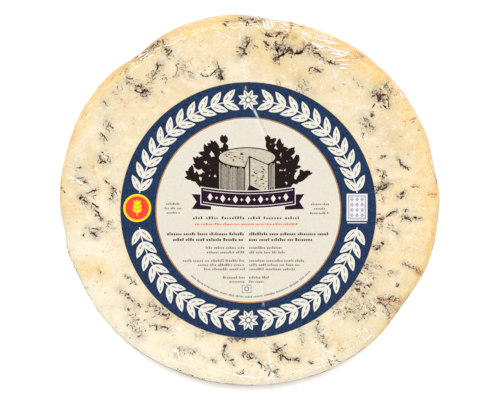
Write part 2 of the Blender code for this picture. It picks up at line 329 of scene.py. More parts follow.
# Thick strokes of mould: tone, width in pixels, and then the places that the stroke runs through
CORES = (
    ("rust", 1.3, 409, 120.5, 412, 119.5, 416, 117.5), ("rust", 1.0, 411, 123, 415.5, 121),
    ("rust", 1.6, 418.6, 129, 420, 131.5), ("rust", 1.1, 409, 187, 413, 186, 419, 186.5),
    ("rust", 0.9, 412, 184.5, 417, 185), ("rust", 1.2, 428, 195, 432, 193.5, 437, 194.5),
    ("rust", 1.0, 430, 197.5, 436, 197), ("rust", 0.9, 356.5, 82, 359.5, 86.5),
    ("rust", 0.8, 370, 157.5, 371.5, 160), ("brown", 2.8, 150.6, 48, 152, 45.6, 154.2, 43),
    ("brown", 2.6, 162.4, 39, 163.6, 41, 163.4, 44.5), ("brown", 1.8, 155, 41, 159, 41.6, 162, 41.5),
    ("brown", 1.8, 145, 48, 148, 47.3), ("brown", 2.2, 141, 53.5, 144, 51.8, 147, 50.8),
    ("brown", 1.6, 141, 57.5, 144, 58.5, 147, 56.8, 148, 55), ("brown", 1.6, 137, 55.8, 138.5, 54),
    ("dark", 2.2, 164.6, 48, 166, 50, 168.3, 50.3), ("grey", 1.6, 164, 47, 165.5, 45, 169, 45.5),
    ("black", 2.2, 172.6, 49.8, 170.8, 51.5, 169.6, 53),
    ("dark", 2.0, 169.8, 52.5, 168.8, 54.3, 166.8, 55.3),
    ("dark", 2.6, 156, 63, 158, 66, 157, 69.5, 156.4, 71), ("black", 2.0, 158.5, 71, 160, 70.2),
    ("grey", 2.2, 155.5, 72.5, 153, 76, 151.5, 78.3), ("dark", 1.5, 161.5, 75.3, 164.5, 75.5),
    ("dark", 2.0, 162.4, 77.3, 162.8, 79), ("dark", 2.2, 125, 69.2, 126.6, 69.8),
    ("dark", 1.8, 126.5, 76.5, 128.3, 78.5, 130.3, 79.3, 133.8, 77.8),
    ("grey", 1.9, 127, 81.5, 126.5, 83.5, 128.3, 84),
    ("dark", 2.0, 136.3, 86.7, 138.3, 85.2, 140, 86.3, 141, 88.5),
    ("dark", 2.4, 134, 88.5, 136, 91, 138.3, 92, 140, 93),
    ("black", 3.0, 139.6, 93.6, 142, 92.3, 144, 90.6, 146, 88.9), ("dark", 1.6, 145, 96.8, 147, 95.5),
    ("grey", 1.8, 146, 84, 148, 83, 150, 82.3),
    ("grey", 1.5, 175.6, 63.5, 177, 66.5, 177.5, 71, 174.4, 76.3), ("dark", 2.0, 174, 76.6, 175.4, 75.3),
    ("rust", 2.2, 147.5, 75, 148.5, 76.2), ("rust", 1.2, 161, 90, 162, 93, 165, 93.3),
    ("dark", 2.0, 223, 23, 224.5, 24.5, 227.5, 26), ("grey", 1.4, 227, 26, 230.5, 29),
    ("rust", 1.8, 203, 17.4, 207, 17.6), ("dark", 1.8, 238, 16, 240, 18, 242.5, 17.4),
    ("dark", 2.2, 245.8, 27, 246.6, 24.5, 247.4, 21.5, 249.8, 25.5),
    ("dark", 2.0, 253.5, 20.8, 255, 22, 257, 22.6), ("brown", 1.8, 259.5, 17, 261.5, 17.4),
    ("dark", 2.2, 247.6, 36.5, 248, 38.4), ("dark", 2.6, 249.8, 41.3, 248, 43.5, 246.5, 46, 247.5, 47.5),
    ("black", 2.6, 238.3, 47.3, 240.3, 47.2, 241.8, 49),
    ("black", 3.4, 242, 47.5, 243.8, 48.5, 243.8, 51.5, 245, 53.5, 248, 54.3),
    ("rust", 1.8, 244.5, 43.3, 246, 42.6), ("brown", 2.2, 243.5, 52.5, 242, 55.5, 240.3, 56.6),
    ("grey", 1.3, 252.6, 44.2, 255, 45.7, 257.2, 46.3, 257.6, 48.6),
    ("green", 2.6, 218.3, 65, 218.8, 67.5, 219.8, 69.6),
    ("green", 1.9, 218.5, 68.2, 215.8, 70, 211.5, 74, 209.5, 76),
    ("green", 1.8, 209, 76, 205.5, 76.6, 202.5, 75.5, 201, 74.6),
    ("dark", 2.8, 222.5, 71.5, 221, 73, 220, 75, 217.6, 75.2),
    ("black", 2.8, 220.4, 75.5, 222, 77.5, 221.4, 79, 220.2, 80.8), ("rust", 2.0, 223.6, 76, 224.4, 78),
    ("dark", 2.4, 281.8, 31.5, 278, 34.2, 275.4, 37), ("brown", 2.6, 263, 32, 267, 35.6, 274.4, 37.2),
    ("dark", 2.4, 282, 39.5, 285.5, 36.8), ("dark", 2.4, 264, 40.6, 267, 43.8, 269.8, 46),
    ("grey", 1.8, 265.5, 45, 266.6, 48.4), ("dark", 2.2, 275.3, 40.2, 275.7, 44.7, 276.6, 50.2),
    ("black", 4.2, 276, 51.2, 279.8, 47), ("brown", 2.6, 284, 50, 289, 49, 292, 52),
    ("black", 3.8, 277.2, 58.6, 280, 56, 282, 54.7, 285.6, 53),
    ("black", 2.8, 284.4, 53.6, 288, 51, 292.5, 49.3), ("dark", 2.4, 287.6, 47, 292, 50.2, 293.2, 53.4),
    ("black", 3.4, 293, 53.6, 297, 53.9, 300.3, 52.5, 303.5, 49.3),
    ("grey", 1.8, 277, 45, 282, 44.4, 286, 46), ("grey", 2.0, 304.4, 48.4, 307.5, 44.3, 311.6, 45.2),
    ("dark", 2.6, 312.5, 51.5, 316.2, 47.6, 318, 48.4),
    ("dark", 2.4, 313, 53.8, 318, 53, 320.7, 56.5, 322.3, 57.6),
    ("dark", 2.2, 326.2, 60.2, 329, 62.5, 332.5, 63.4, 335.6, 63.8),
    ("dark", 1.8, 308.5, 71.5, 310.7, 67.5, 313.5, 67), ("dark", 1.6, 313.5, 67.2, 316, 69.3, 320.7, 72.2),
    ("brown", 1.6, 274, 62.6, 276, 63.4), ("brown", 1.8, 279.6, 61.6, 278.4, 64.6),
    ("dark", 2.4, 371.6, 93, 373.3, 91.5), ("brown", 2.0, 371.3, 96.8, 373, 95.5, 376, 95.2),
    ("brown", 4.6, 376, 92.5, 377, 94.6, 378.4, 97.4, 380.5, 100.2),
    ("dark", 3.4, 377.6, 101, 379.4, 99.5, 381.2, 95, 384, 94.4, 387, 95),
    ("brown", 1.8, 379.7, 88.5, 381, 89, 382.6, 89.6), ("brown", 1.6, 387, 95, 388.8, 97.4, 388.6, 102),
    ("dark", 2.0, 388.6, 103, 388.8, 105.5, 388.2, 108),
    ("dark", 2.0, 382.3, 105.6, 384.3, 105.6, 386.3, 108.6),
    ("rust", 2.0, 389.5, 93.8, 391, 92.6, 391.8, 91), ("rust", 1.5, 393.5, 95, 395.5, 95, 397.2, 93.2),
    ("grey", 2.6, 383, 88, 385.5, 85, 388, 82), ("brown", 1.9, 375.4, 103, 373.3, 106.2, 372.2, 108.6),
    ("black", 2.8, 371.8, 112.6, 371.9, 115, 371, 117.8), ("green", 2.0, 361.6, 124.3, 364.2, 124.4),
    ("green", 1.7, 364.6, 122, 365.6, 119.6), ("green", 1.8, 364.5, 125.5, 366.5, 127, 368, 127.2),
    ("dark", 1.9, 369, 124, 370, 126.5, 369.4, 127.8), ("green", 1.5, 371.6, 125, 372.4, 128),
    ("dark", 2.2, 363.2, 134.2, 364.5, 134.9), ("dark", 1.8, 381, 157.6, 383.3, 156.8, 386.8, 155.6),
    ("dark", 2.2, 398, 157.6, 399.6, 160.3, 401.3, 164.4, 400.8, 166.8),
    ("dark", 2.2, 401.5, 164.6, 404, 166, 408.8, 168.4), ("dark", 2.2, 376.3, 169.6, 379.6, 170.8),
    ("black", 2.3, 384, 171.6, 383.3, 174.6, 382.9, 177.2), ("dark", 2.2, 381, 182.4, 383.4, 182),
    ("green", 2.6, 380.6, 184.6, 381, 186.5, 379, 188.6, 377.3, 191.8),
    ("dark", 2.6, 379.6, 189.4, 383, 188.8, 388, 186.4), ("green", 2.0, 377.3, 191.8, 375.4, 194.4),
    ("green", 2.0, 374, 186.6, 376.2, 186), ("grey", 2.0, 396.4, 195, 398.2, 197, 400.2, 197.6),
    ("dark", 2.0, 400.3, 195.5, 402, 193.6, 404.6, 191.4),
    ("dark", 2.0, 400.4, 199.6, 402, 197.4, 403.2, 195.2),
    ("grey", 1.9, 382.2, 200.2, 383, 197, 384.6, 196.4), ("dark", 2.0, 404.5, 209.6, 407.2, 209.9),
    ("black", 2.5, 385.3, 217.7, 387.6, 215.6, 390.6, 213.6, 393.6, 211.8, 397.6, 211.8),
    ("brown", 1.8, 377, 214, 379, 214.4, 381.8, 213.6),
    ("dark", 2.2, 379, 217.4, 380.6, 219, 383, 219.4, 385, 218),
    ("brown", 2.4, 380.8, 220, 381.4, 222, 383.2, 222.6),
    ("brown", 1.8, 376, 223.4, 377.6, 221, 379, 219.6), ("grey", 2.0, 388.2, 226.2, 389.8, 224.8),
    ("grey", 1.8, 391.6, 225.6, 393, 224.2), ("grey", 1.9, 391.6, 230, 394.4, 231.3, 397.4, 233),
    ("green", 2.8, 404.4, 217.4, 406.6, 218.6, 408.8, 217.4), ("dark", 2.0, 401.4, 219.9, 403.6, 219),
    ("dark", 2.0, 407, 219.6, 409.6, 219.8, 412, 220.4),
    ("black", 2.5, 413.4, 216.4, 415.6, 217.9, 417.2, 217.4), ("dark", 2.2, 419.2, 217.8, 420.1, 219.6),
    ("rust", 1.6, 411, 187.3, 415, 187.2), ("rust", 1.7, 418.5, 187, 420.5, 186.5),
    ("black", 3.0, 380.8, 241.8, 382.3, 243.4, 383.8, 245),
    ("dark", 2.8, 375.4, 247.5, 377, 248.7, 378.6, 248.2), ("grey", 2.0, 372, 245.6, 374, 246.5),
    ("brown", 1.5, 363.5, 265.4, 366, 265, 369, 264.6), ("dark", 1.9, 364, 268.5, 366.6, 268.9),
    ("brown", 2.0, 359.5, 270.4, 360.6, 272.4, 363.4, 274.2),
    ("green", 2.6, 355, 283.4, 356.6, 285, 358.2, 284.3),
    ("brown", 2.0, 354.5, 288, 356.4, 289.5, 358.5, 292.3),
    ("dark", 1.7, 361.4, 294.8, 363, 293, 364.2, 292),
    ("black", 2.5, 366.8, 284.4, 368, 285.5, 369.4, 286.6, 371.2, 287.6),
    ("brown", 1.8, 377, 299, 378.6, 298.3, 380, 299.6),
    ("brown", 2.2, 376.8, 303.8, 379, 301.8, 381, 302.6, 382.6, 304.4),
    ("black", 2.1, 382.4, 300.1, 384.8, 300.5),
    ("dark", 2.1, 386.6, 299.5, 389, 299, 390.6, 297.6, 392.2, 295.4),
    ("grey", 1.8, 392, 295.5, 394.8, 296.8), ("brown", 2.0, 383, 303.5, 385, 306, 387, 307.3),
    ("grey", 2.0, 387.4, 308, 387.8, 310.5, 389, 313, 392, 313.4),
    ("brown", 1.7, 391, 301, 393.6, 302, 395.6, 300.1), ("rust", 2.0, 396, 298.6, 397.6, 300.6, 399.8, 302),
    ("rust", 1.8, 388.6, 304.4, 391, 305, 392, 307.7), ("brown", 2.2, 374, 305.4, 374.9, 307.4),
    ("brown", 2.4, 396.4, 285.8, 398.6, 286.5), ("rust", 1.7, 387, 273.6, 389, 275.8, 391.8, 277.2),
    ("brown", 1.9, 401.4, 263.5, 403.2, 264.1),
    ("grey", 2.1, 404.6, 262.4, 405.4, 265, 408, 266, 413.8, 268.6),
    ("brown", 1.8, 415.6, 266.5, 417, 269.5, 416.6, 272),
    ("rust", 2.1, 418.6, 267, 419.6, 270, 421.6, 273.9),
    ("dark", 1.8, 362.4, 314, 365, 314.5, 367.6, 313.2), ("dark", 2.0, 360.4, 318, 362.2, 318.3),
    ("dark", 2.2, 349.8, 310.6, 350.8, 313.2), ("brown", 1.5, 226.6, 336, 229, 335.6),
    ("brown", 2.0, 230.4, 340.3, 233, 341.8),
    ("dark", 1.9, 232.6, 338.4, 236.6, 338, 240.6, 338.8, 243.8, 338.2),
    ("grey", 1.6, 236.6, 341.5, 239.6, 340), ("dark", 2.3, 226.8, 343.8, 225.6, 345.5, 224.2, 346.5),
    ("brown", 1.5, 224.6, 348, 223.4, 351.5, 222.4, 355, 223.4, 357.6, 225, 359.2),
    ("dark", 2.0, 231.2, 362.2, 231, 360.6, 232, 359.4, 234.6, 359),
    ("dark", 2.0, 243, 352.6, 245, 352, 246.6, 353.6),
    ("dark", 1.9, 243.4, 354, 243.2, 356.4, 243.9, 358.6),
    ("dark", 2.0, 249.4, 354.5, 249.6, 357, 251.4, 358.6, 253.8, 357.9),
    ("grey", 1.6, 246, 359, 248.6, 359.6, 250.6, 358.4),
    ("dark", 1.8, 256.6, 361.8, 259.6, 362.8, 261.4, 364.6, 261.6, 369.6),
    ("dark", 1.8, 264.2, 369.4, 265.6, 371.6),
    ("dark", 1.8, 268, 376.8, 269.4, 374, 270.4, 371, 270.6, 369),
    ("brown", 2.0, 276, 370.6, 277.6, 369.4, 278.8, 370.2), ("brown", 1.8, 237.2, 373.7, 238.8, 374.1),
    ("dark", 1.9, 241.4, 372.5, 243.2, 371.9), ("dark", 2.2, 271.4, 351.2, 273.6, 352.6, 278.6, 352.6),
    ("dark", 2.2, 275.4, 350.6, 279, 349, 281.4, 347.2),
    ("black", 2.4, 278.4, 355, 282.6, 355.6, 285, 357.6, 287.4, 359.6, 291.6, 360.1),
    ("dark", 2.0, 280.4, 355.6, 280.4, 358, 281, 361.6),
    ("dark", 1.9, 293.8, 360.8, 296, 359.4, 298.8, 357.5),
    ("brown", 1.7, 283.4, 345.7, 286, 344.8, 287.8, 344.5),
    ("brown", 2.1, 308.4, 361.4, 310, 363, 313.8, 363.7), ("grey", 2.0, 301.6, 341, 303.2, 342.8),
    ("grey", 1.8, 302.6, 333, 304.2, 334.8), ("grey", 1.9, 109, 122, 108.6, 124.6, 107, 127, 105.6, 129.8),
    ("dark", 1.8, 109, 125, 111.4, 127, 114.2, 127.6),
    ("dark", 1.9, 100.6, 133, 103, 135, 105.4, 138, 107.8, 141.2),
    ("dark", 2.0, 100.6, 153, 102.6, 152.3, 103.8, 153.8),
    ("brown", 1.6, 100.4, 155, 100, 158.5, 101.4, 161),
    ("dark", 2.1, 98, 163.7, 100.4, 162.4, 103, 161.6, 107, 162),
    ("grey", 1.6, 106, 155, 108.6, 157.6, 109, 160.4), ("dark", 1.9, 77.4, 167.8, 81.8, 167.6),
    ("dark", 1.8, 76, 178, 79, 178.4, 83.8, 177.4), ("brown", 2.3, 83, 181.5, 86.6, 182.2),
    ("rust", 2.1, 92.8, 165.9, 94.2, 166.6), ("black", 2.1, 104.4, 179.8, 106, 181.6, 107.6, 183.9),
    ("black", 2.3, 111.4, 188, 113.6, 188.7, 114.8, 187.3), ("dark", 2.0, 110.6, 194.8, 111.7, 197.2),
    ("brown", 2.0, 108.8, 199.3, 109.7, 197.5), ("dark", 1.6, 113.6, 190.6, 116, 192.4, 117, 195.2),
    ("dark", 2.1, 87, 194, 89, 192.6, 91.4, 191.4, 97.2, 190.3),
    ("brown", 1.6, 92, 196, 95, 195.6, 96.8, 194.4), ("black", 2.5, 79.8, 200.2, 81, 198, 82.6, 196.8),
    ("dark", 2.1, 82.6, 199, 85, 201, 88.2, 203.2),
    ("dark", 2.1, 91, 202, 94, 204.6, 96.6, 206.4, 99.2, 207.5),
    ("dark", 2.1, 96.4, 210.6, 98, 213, 99, 215.4, 102.2, 217.8),
    ("grey", 1.6, 108.6, 222, 107.6, 225, 109, 227.8),
    ("dark", 1.8, 90, 229, 93, 228.4, 96, 229, 99.2, 229.7),
    ("dark", 2.1, 91, 231.6, 93.4, 234, 96.6, 236.8), ("dark", 1.8, 82.4, 234.4, 84.2, 236.2),
    ("dark", 2.1, 119.4, 292.3, 121.6, 291.3), ("dark", 2.2, 127.4, 293.8, 129, 293.6, 129.3, 296.4),
    ("dark", 2.0, 130.8, 300.6, 132.6, 301.4, 134.1, 299.8), ("grey", 1.8, 124.6, 293.3, 126.6, 293.8),
    ("dark", 2.2, 137.9, 306.2, 138.8, 304.6, 139.3, 303.4),
    ("brown", 1.9, 126.5, 308.8, 128, 309.4, 129.6, 311.2), ("dark", 1.9, 134.5, 312.5, 135.7, 314.4),
    ("brown", 2.0, 134.9, 319.9, 137, 319.6, 139.6, 320.5), ("brown", 1.8, 143.4, 320.9, 145.6, 319.5),
    ("brown", 1.8, 144.4, 311.6, 147, 312, 148.8, 311.1),
    ("dark", 2.2, 154.2, 306.7, 156, 306, 157.6, 306.9), ("dark", 2.2, 158.4, 307.7, 160.5, 307.4),
    ("black", 2.4, 161.8, 308.2, 163.6, 309.6), ("dark", 2.1, 155.4, 311.6, 157.2, 310),
    ("dark", 1.9, 158.5, 312.5, 160.2, 313.1), ("black", 2.4, 161.4, 314.6, 163.4, 314.6, 164.2, 315.9),
    ("brown", 1.9, 165.2, 311.7, 166.8, 310.7), ("grey", 1.8, 152, 317.6, 154, 317, 155.6, 316),
    ("brown", 2.0, 165.8, 319.9, 167.4, 319, 168.6, 316.8), ("brown", 1.9, 126.8, 325.8, 129.2, 323.9),
    ("grey", 1.8, 131.4, 326, 132.6, 328.6, 131.6, 330.6), ("dark", 2.0, 134.2, 330.5, 136.2, 329.9),
    ("grey", 1.9, 144.4, 331.5, 146.6, 330.9),
    ("dark", 1.9, 153.6, 325.4, 155.4, 325.2, 156.6, 326.4, 156.2, 331),
    ("dark", 2.3, 161, 325.6, 163, 326.6, 164.6, 327, 166.6, 328.8),
    ("dark", 2.1, 134.4, 284.3, 136.2, 284.7), ("grey", 1.6, 141, 331.1, 142.8, 330.3),
    ("grey", 1.8, 102.6, 101, 105.6, 102.5, 106, 104.8),
)

# Where the mould is greenish, where the paste is rusty, yellow or dull, and where it is paler, partly as
# painted light along the lower rim, all in the form of VEINS
GREEN_MOULD = (
    (221, 68, 220, 78, 7, 1.0), (376, 192, 388, 181, 9, 1.0), (363, 117, 372, 129, 9, 0.8),
    (402, 216, 410, 219, 6, 0.9), (318, 329, 326, 346, 8, 0.8), (300, 78, 305, 92, 8, 0.7),
    (100, 152, 110, 164, 8, 0.6), (108, 196, 112, 202, 5, 0.8), (212, 60, 204, 76, 5, 0.7),
)
RUST = (
    (184, 64, 193, 58, 2, 0.9), (180, 71, 189, 66, 1.5, 0.8), (115, 96, 120, 103, 2, 0.7),
    (119, 97, 125, 104, 2, 0.8), (147, 75, 148, 77, 2, 0.9), (173, 39, 180, 31, 4, 0.4),
    (108, 81, 120, 73, 6, 0.6), (72, 131, 66, 139, 6, 0.6), (58, 170, 61, 215, 5, 0.5),
    (332.5, 88.5, 333.5, 89.5, 1.5, 1.4), (384, 100, 398, 92, 4, 0.6), (404, 121, 415, 118, 4, 0.7),
    (84, 181, 87, 183, 3, 1.1), (93, 166, 94, 168, 1.5, 1.2), (83, 288, 86, 288, 2.5, 1.2),
    (175, 323, 178, 318, 1.2, 1.1), (174, 350, 177, 356, 5, 0.8), (429, 194, 437, 195, 3, 0.9),
    (433, 234, 437, 235, 2, 1.2), (380, 300, 402, 304, 8, 0.7), (416, 272, 425, 274, 5, 0.9),
    (378, 221, 384, 216, 3, 0.8), (276, 352, 279, 354, 2, 0.7), (340, 345, 338, 350, 5, 0.8),
    (268, 35, 290, 30, 6, 0.5), (300, 42, 330, 50, 8, 0.5), (440, 260, 400, 330, 6, 0.45),
    (64, 262, 72, 290, 4, 0.4), (378, 94, 386, 90, 6, 0.6), (411, 187, 420, 188, 3, 0.5),
)
STAINS = (
    (86, 268, 100, 272, 11, 1.0), (68, 180, 72, 210, 8, 0.5), (330, 340, 342, 348, 7, 0.5),
    (340, 42, 384, 78, 12, 1.5), (262, 32, 340, 46, 12, 1.0), (158, 42, 235, 20, 9, 1.4),
    (152, 42, 98, 88, 9, 1.3), (376, 72, 426, 138, 13, 0.9), (430, 140, 441, 205, 7, 1.6),
    (441, 212, 424, 275, 8, 1.7), (424, 275, 388, 334, 10, 1.3), (390, 330, 370, 346, 6, 0.5),
    (96, 92, 70, 140, 8, 1.0), (66, 140, 58, 200, 6, 0.9), (408, 170, 420, 216, 9, 0.4),
    (240, 40, 300, 74, 13, 0.7), (300, 60, 370, 100, 16, 0.3), (262, 30, 290, 40, 9, 0.6),
    (140, 110, 175, 90, 9, 0.3), (190, 44, 215, 52, 9, 0.35), (370, 250, 400, 262, 9, 0.3),
    (170, 70, 150, 84, 10, 0.2), (92, 150, 100, 190, 9, 0.35), (392, 190, 402, 215, 9, 0.4),
    (400, 225, 414, 262, 10, 0.5), (380, 100, 402, 150, 10, 0.45), (345, 68, 380, 100, 10, 0.35),
    (424, 180, 430, 240, 8, 0.9), (420, 146, 428, 206, 9, 1.0), (425, 225, 418, 262, 8, 0.8),
)
# Paler paste; the strokes along the lower rim are painted light against the shade that falls on that side
PALER_AND_LIT = (
    (84, 248, 96, 310, 26, 1.0), (104, 320, 165, 362, 24, 1.0), (180, 368, 250, 376, 16, 0.6),
    (270, 378, 330, 366, 12, 0.6), (130, 330, 210, 350, 18, 0.6), (80, 245, 112, 258, 12, 0.9),
    (92, 130, 100, 150, 8, 0.5), (320, 345, 345, 352, 9, 0.6), (104, 196, 114, 226, 10, 0.4),
    (262, 338, 320, 330, 11, 0.35), (302, 36, 346, 54, 8, 0.4),
)
DULLER = (
    (398, 150, 380, 98, 14, 1.0), (378, 96, 335, 62, 15, 1.0), (326, 56, 286, 46, 11, 1.6),
    (280, 52, 240, 44, 12, 1.0), (282, 66, 318, 82, 11, 0.9), (92, 160, 90, 192, 9, 1.0),
    (252, 26, 290, 30, 8, 0.9), (79, 165, 76, 190, 8, 0.8),
)

# Sharp creases of the film on the face, whitened to stand for their glints as painted highlights: start and
# end in pixels, and width in pixels
CREASE_GLINTS = (
    (154, 50, 162, 47, 0.8), (163, 46.5, 170, 44.5, 0.9), (172, 43.5, 180, 40, 0.9),
    (181, 39.5, 188, 36.5, 0.9), (190, 35.5, 199, 32, 0.8), (200, 31.5, 208, 29, 0.9),
    (210, 28.5, 222, 27.5, 0.7), (224, 27.5, 239, 28, 0.7), (214, 31, 223, 34, 0.6),
    (224, 34.5, 233, 39, 0.6), (239, 31, 241, 42, 0.8), (217, 36, 226, 38, 0.5), (137, 58, 143, 53, 1.3),
    (139, 60, 149, 53, 1.1), (142, 60.5, 152, 55, 1.0), (140, 55.5, 148, 50.5, 1.0),
    (146, 58.5, 153, 54, 0.8), (137, 55.5, 142, 51.5, 1.2), (128, 61, 132, 58, 1.9),
    (131, 64.5, 135, 62, 1.7), (263, 19, 266, 29, 1.6), (266, 18.5, 270, 30, 1.9), (270, 18, 273, 28, 1.3),
    (273, 19, 275, 25, 0.9), (281, 22, 289, 26, 2.0), (276, 20, 283, 23, 1.2), (291, 26, 297, 29, 0.8),
    (262, 30, 265, 34, 0.7), (304, 31, 312, 39, 0.8), (309, 31.4, 325, 38.6, 0.9), (315, 30, 329, 36, 0.9),
    (311, 42.5, 324, 47.5, 1.8), (318, 33.6, 332, 38.6, 0.8), (314, 37, 332, 44, 1.1),
    (323, 38.5, 342, 44.5, 1.0), (321, 44.5, 335, 49, 0.9), (323, 48.5, 341, 51.5, 0.9),
    (330, 47, 349, 54.5, 1.0), (331, 52.5, 347, 56, 1.7), (331, 58, 348, 54.5, 0.8),
    (337, 60, 350, 60, 0.9), (340, 64.3, 349, 64.3, 0.9), (339, 67.7, 347, 68.7, 1.3),
    (301, 34, 309, 44, 0.7), (327, 42, 337, 44, 0.8), (312, 49, 320, 51, 0.6), (316, 46, 327, 53, 0.7),
    (345, 47, 352, 51, 0.7), (395, 84, 399, 90, 1.1), (400, 91, 403, 99, 1.3), (429, 152, 431, 158, 1.3),
    (431, 159, 433, 166, 1.5), (433, 167, 436, 175, 1.4), (434, 176, 437, 182, 1.1),
    (431, 170, 433, 173, 0.9), (437, 228, 438, 236, 0.9), (69.5, 177.4, 76, 178.6, 1.5),
    (76, 179, 83, 184.5, 1.9), (83, 184.5, 85.5, 184, 0.8), (70, 181, 75, 183, 0.6),
    (172, 348, 176, 353, 1.6), (175, 347, 179, 356, 1.4), (177, 355, 181, 360, 1.0),
    (171, 353, 174, 357, 0.9), (187, 357, 195, 360.5, 0.8), (196, 361, 206, 364.5, 0.8),
    (208, 365.5, 217, 369, 0.8), (219, 370, 230, 373.5, 0.7), (231, 374, 243, 376.5, 0.7),
    (245, 377, 262, 378.5, 0.7), (266, 379, 280, 378.5, 0.7), (283, 378, 297, 374.5, 0.8),
    (299, 374, 312, 370, 0.8), (314, 369.5, 327, 365, 0.9), (329, 364.5, 342, 359, 0.8),
    (344, 358, 357, 352, 0.8), (321, 352, 327, 358, 1.2), (324, 350, 333, 354, 0.8),
    (328, 356, 334, 361, 1.2), (320, 358, 324, 361, 1.0), (357, 328, 361, 335, 0.9),
    (364, 327, 368, 333, 0.9), (361, 336, 366, 343, 0.8), (366, 341, 372, 334, 0.8),
    (241, 58, 243, 62, 1.2), (242, 64, 244, 68, 1.3), (243, 69, 245, 73, 1.4), (243, 75, 244, 79, 0.9),
    (266, 340, 268, 344, 1.1), (267, 346, 269, 350, 1.4), (268, 351, 270, 356, 1.3),
    (269, 358, 271, 363, 1.5), (270, 364, 272, 369, 1.2), (271, 371, 273, 377, 1.2),
    (267, 353, 265, 357, 0.8), (250, 385.3, 270, 386.2, 1.1), (270, 386.2, 286, 385.3, 1.0),
    (84, 120, 92, 112, 0.5), (408, 244, 422, 250, 0.5), (88, 108, 93, 103, 0.7), (73, 150, 79, 144, 0.6),
    (64, 160, 69, 157, 0.7), (66, 231, 70, 236, 0.7), (90, 318, 95, 322, 0.7),
)

# The film's seam across the face, and the label's fold over it with how sharp it is at each place
SEAM = (
    (243.0, 10.0), (245.5, 92.0), (259.0, 122.0), (264.0, 300.0), (272.0, 392.0),
)
FOLD = (
    (244.0, 76.0, 0.35), (246.0, 93.0, 0.6), (259.0, 120.0, 1.0), (265.0, 133.0, 1.0), (271.0, 148.0, 0.75),
    (268.0, 215.0, 0.25), (263.0, 300.0, 0.35), (266.0, 338.0, 0.3),
)


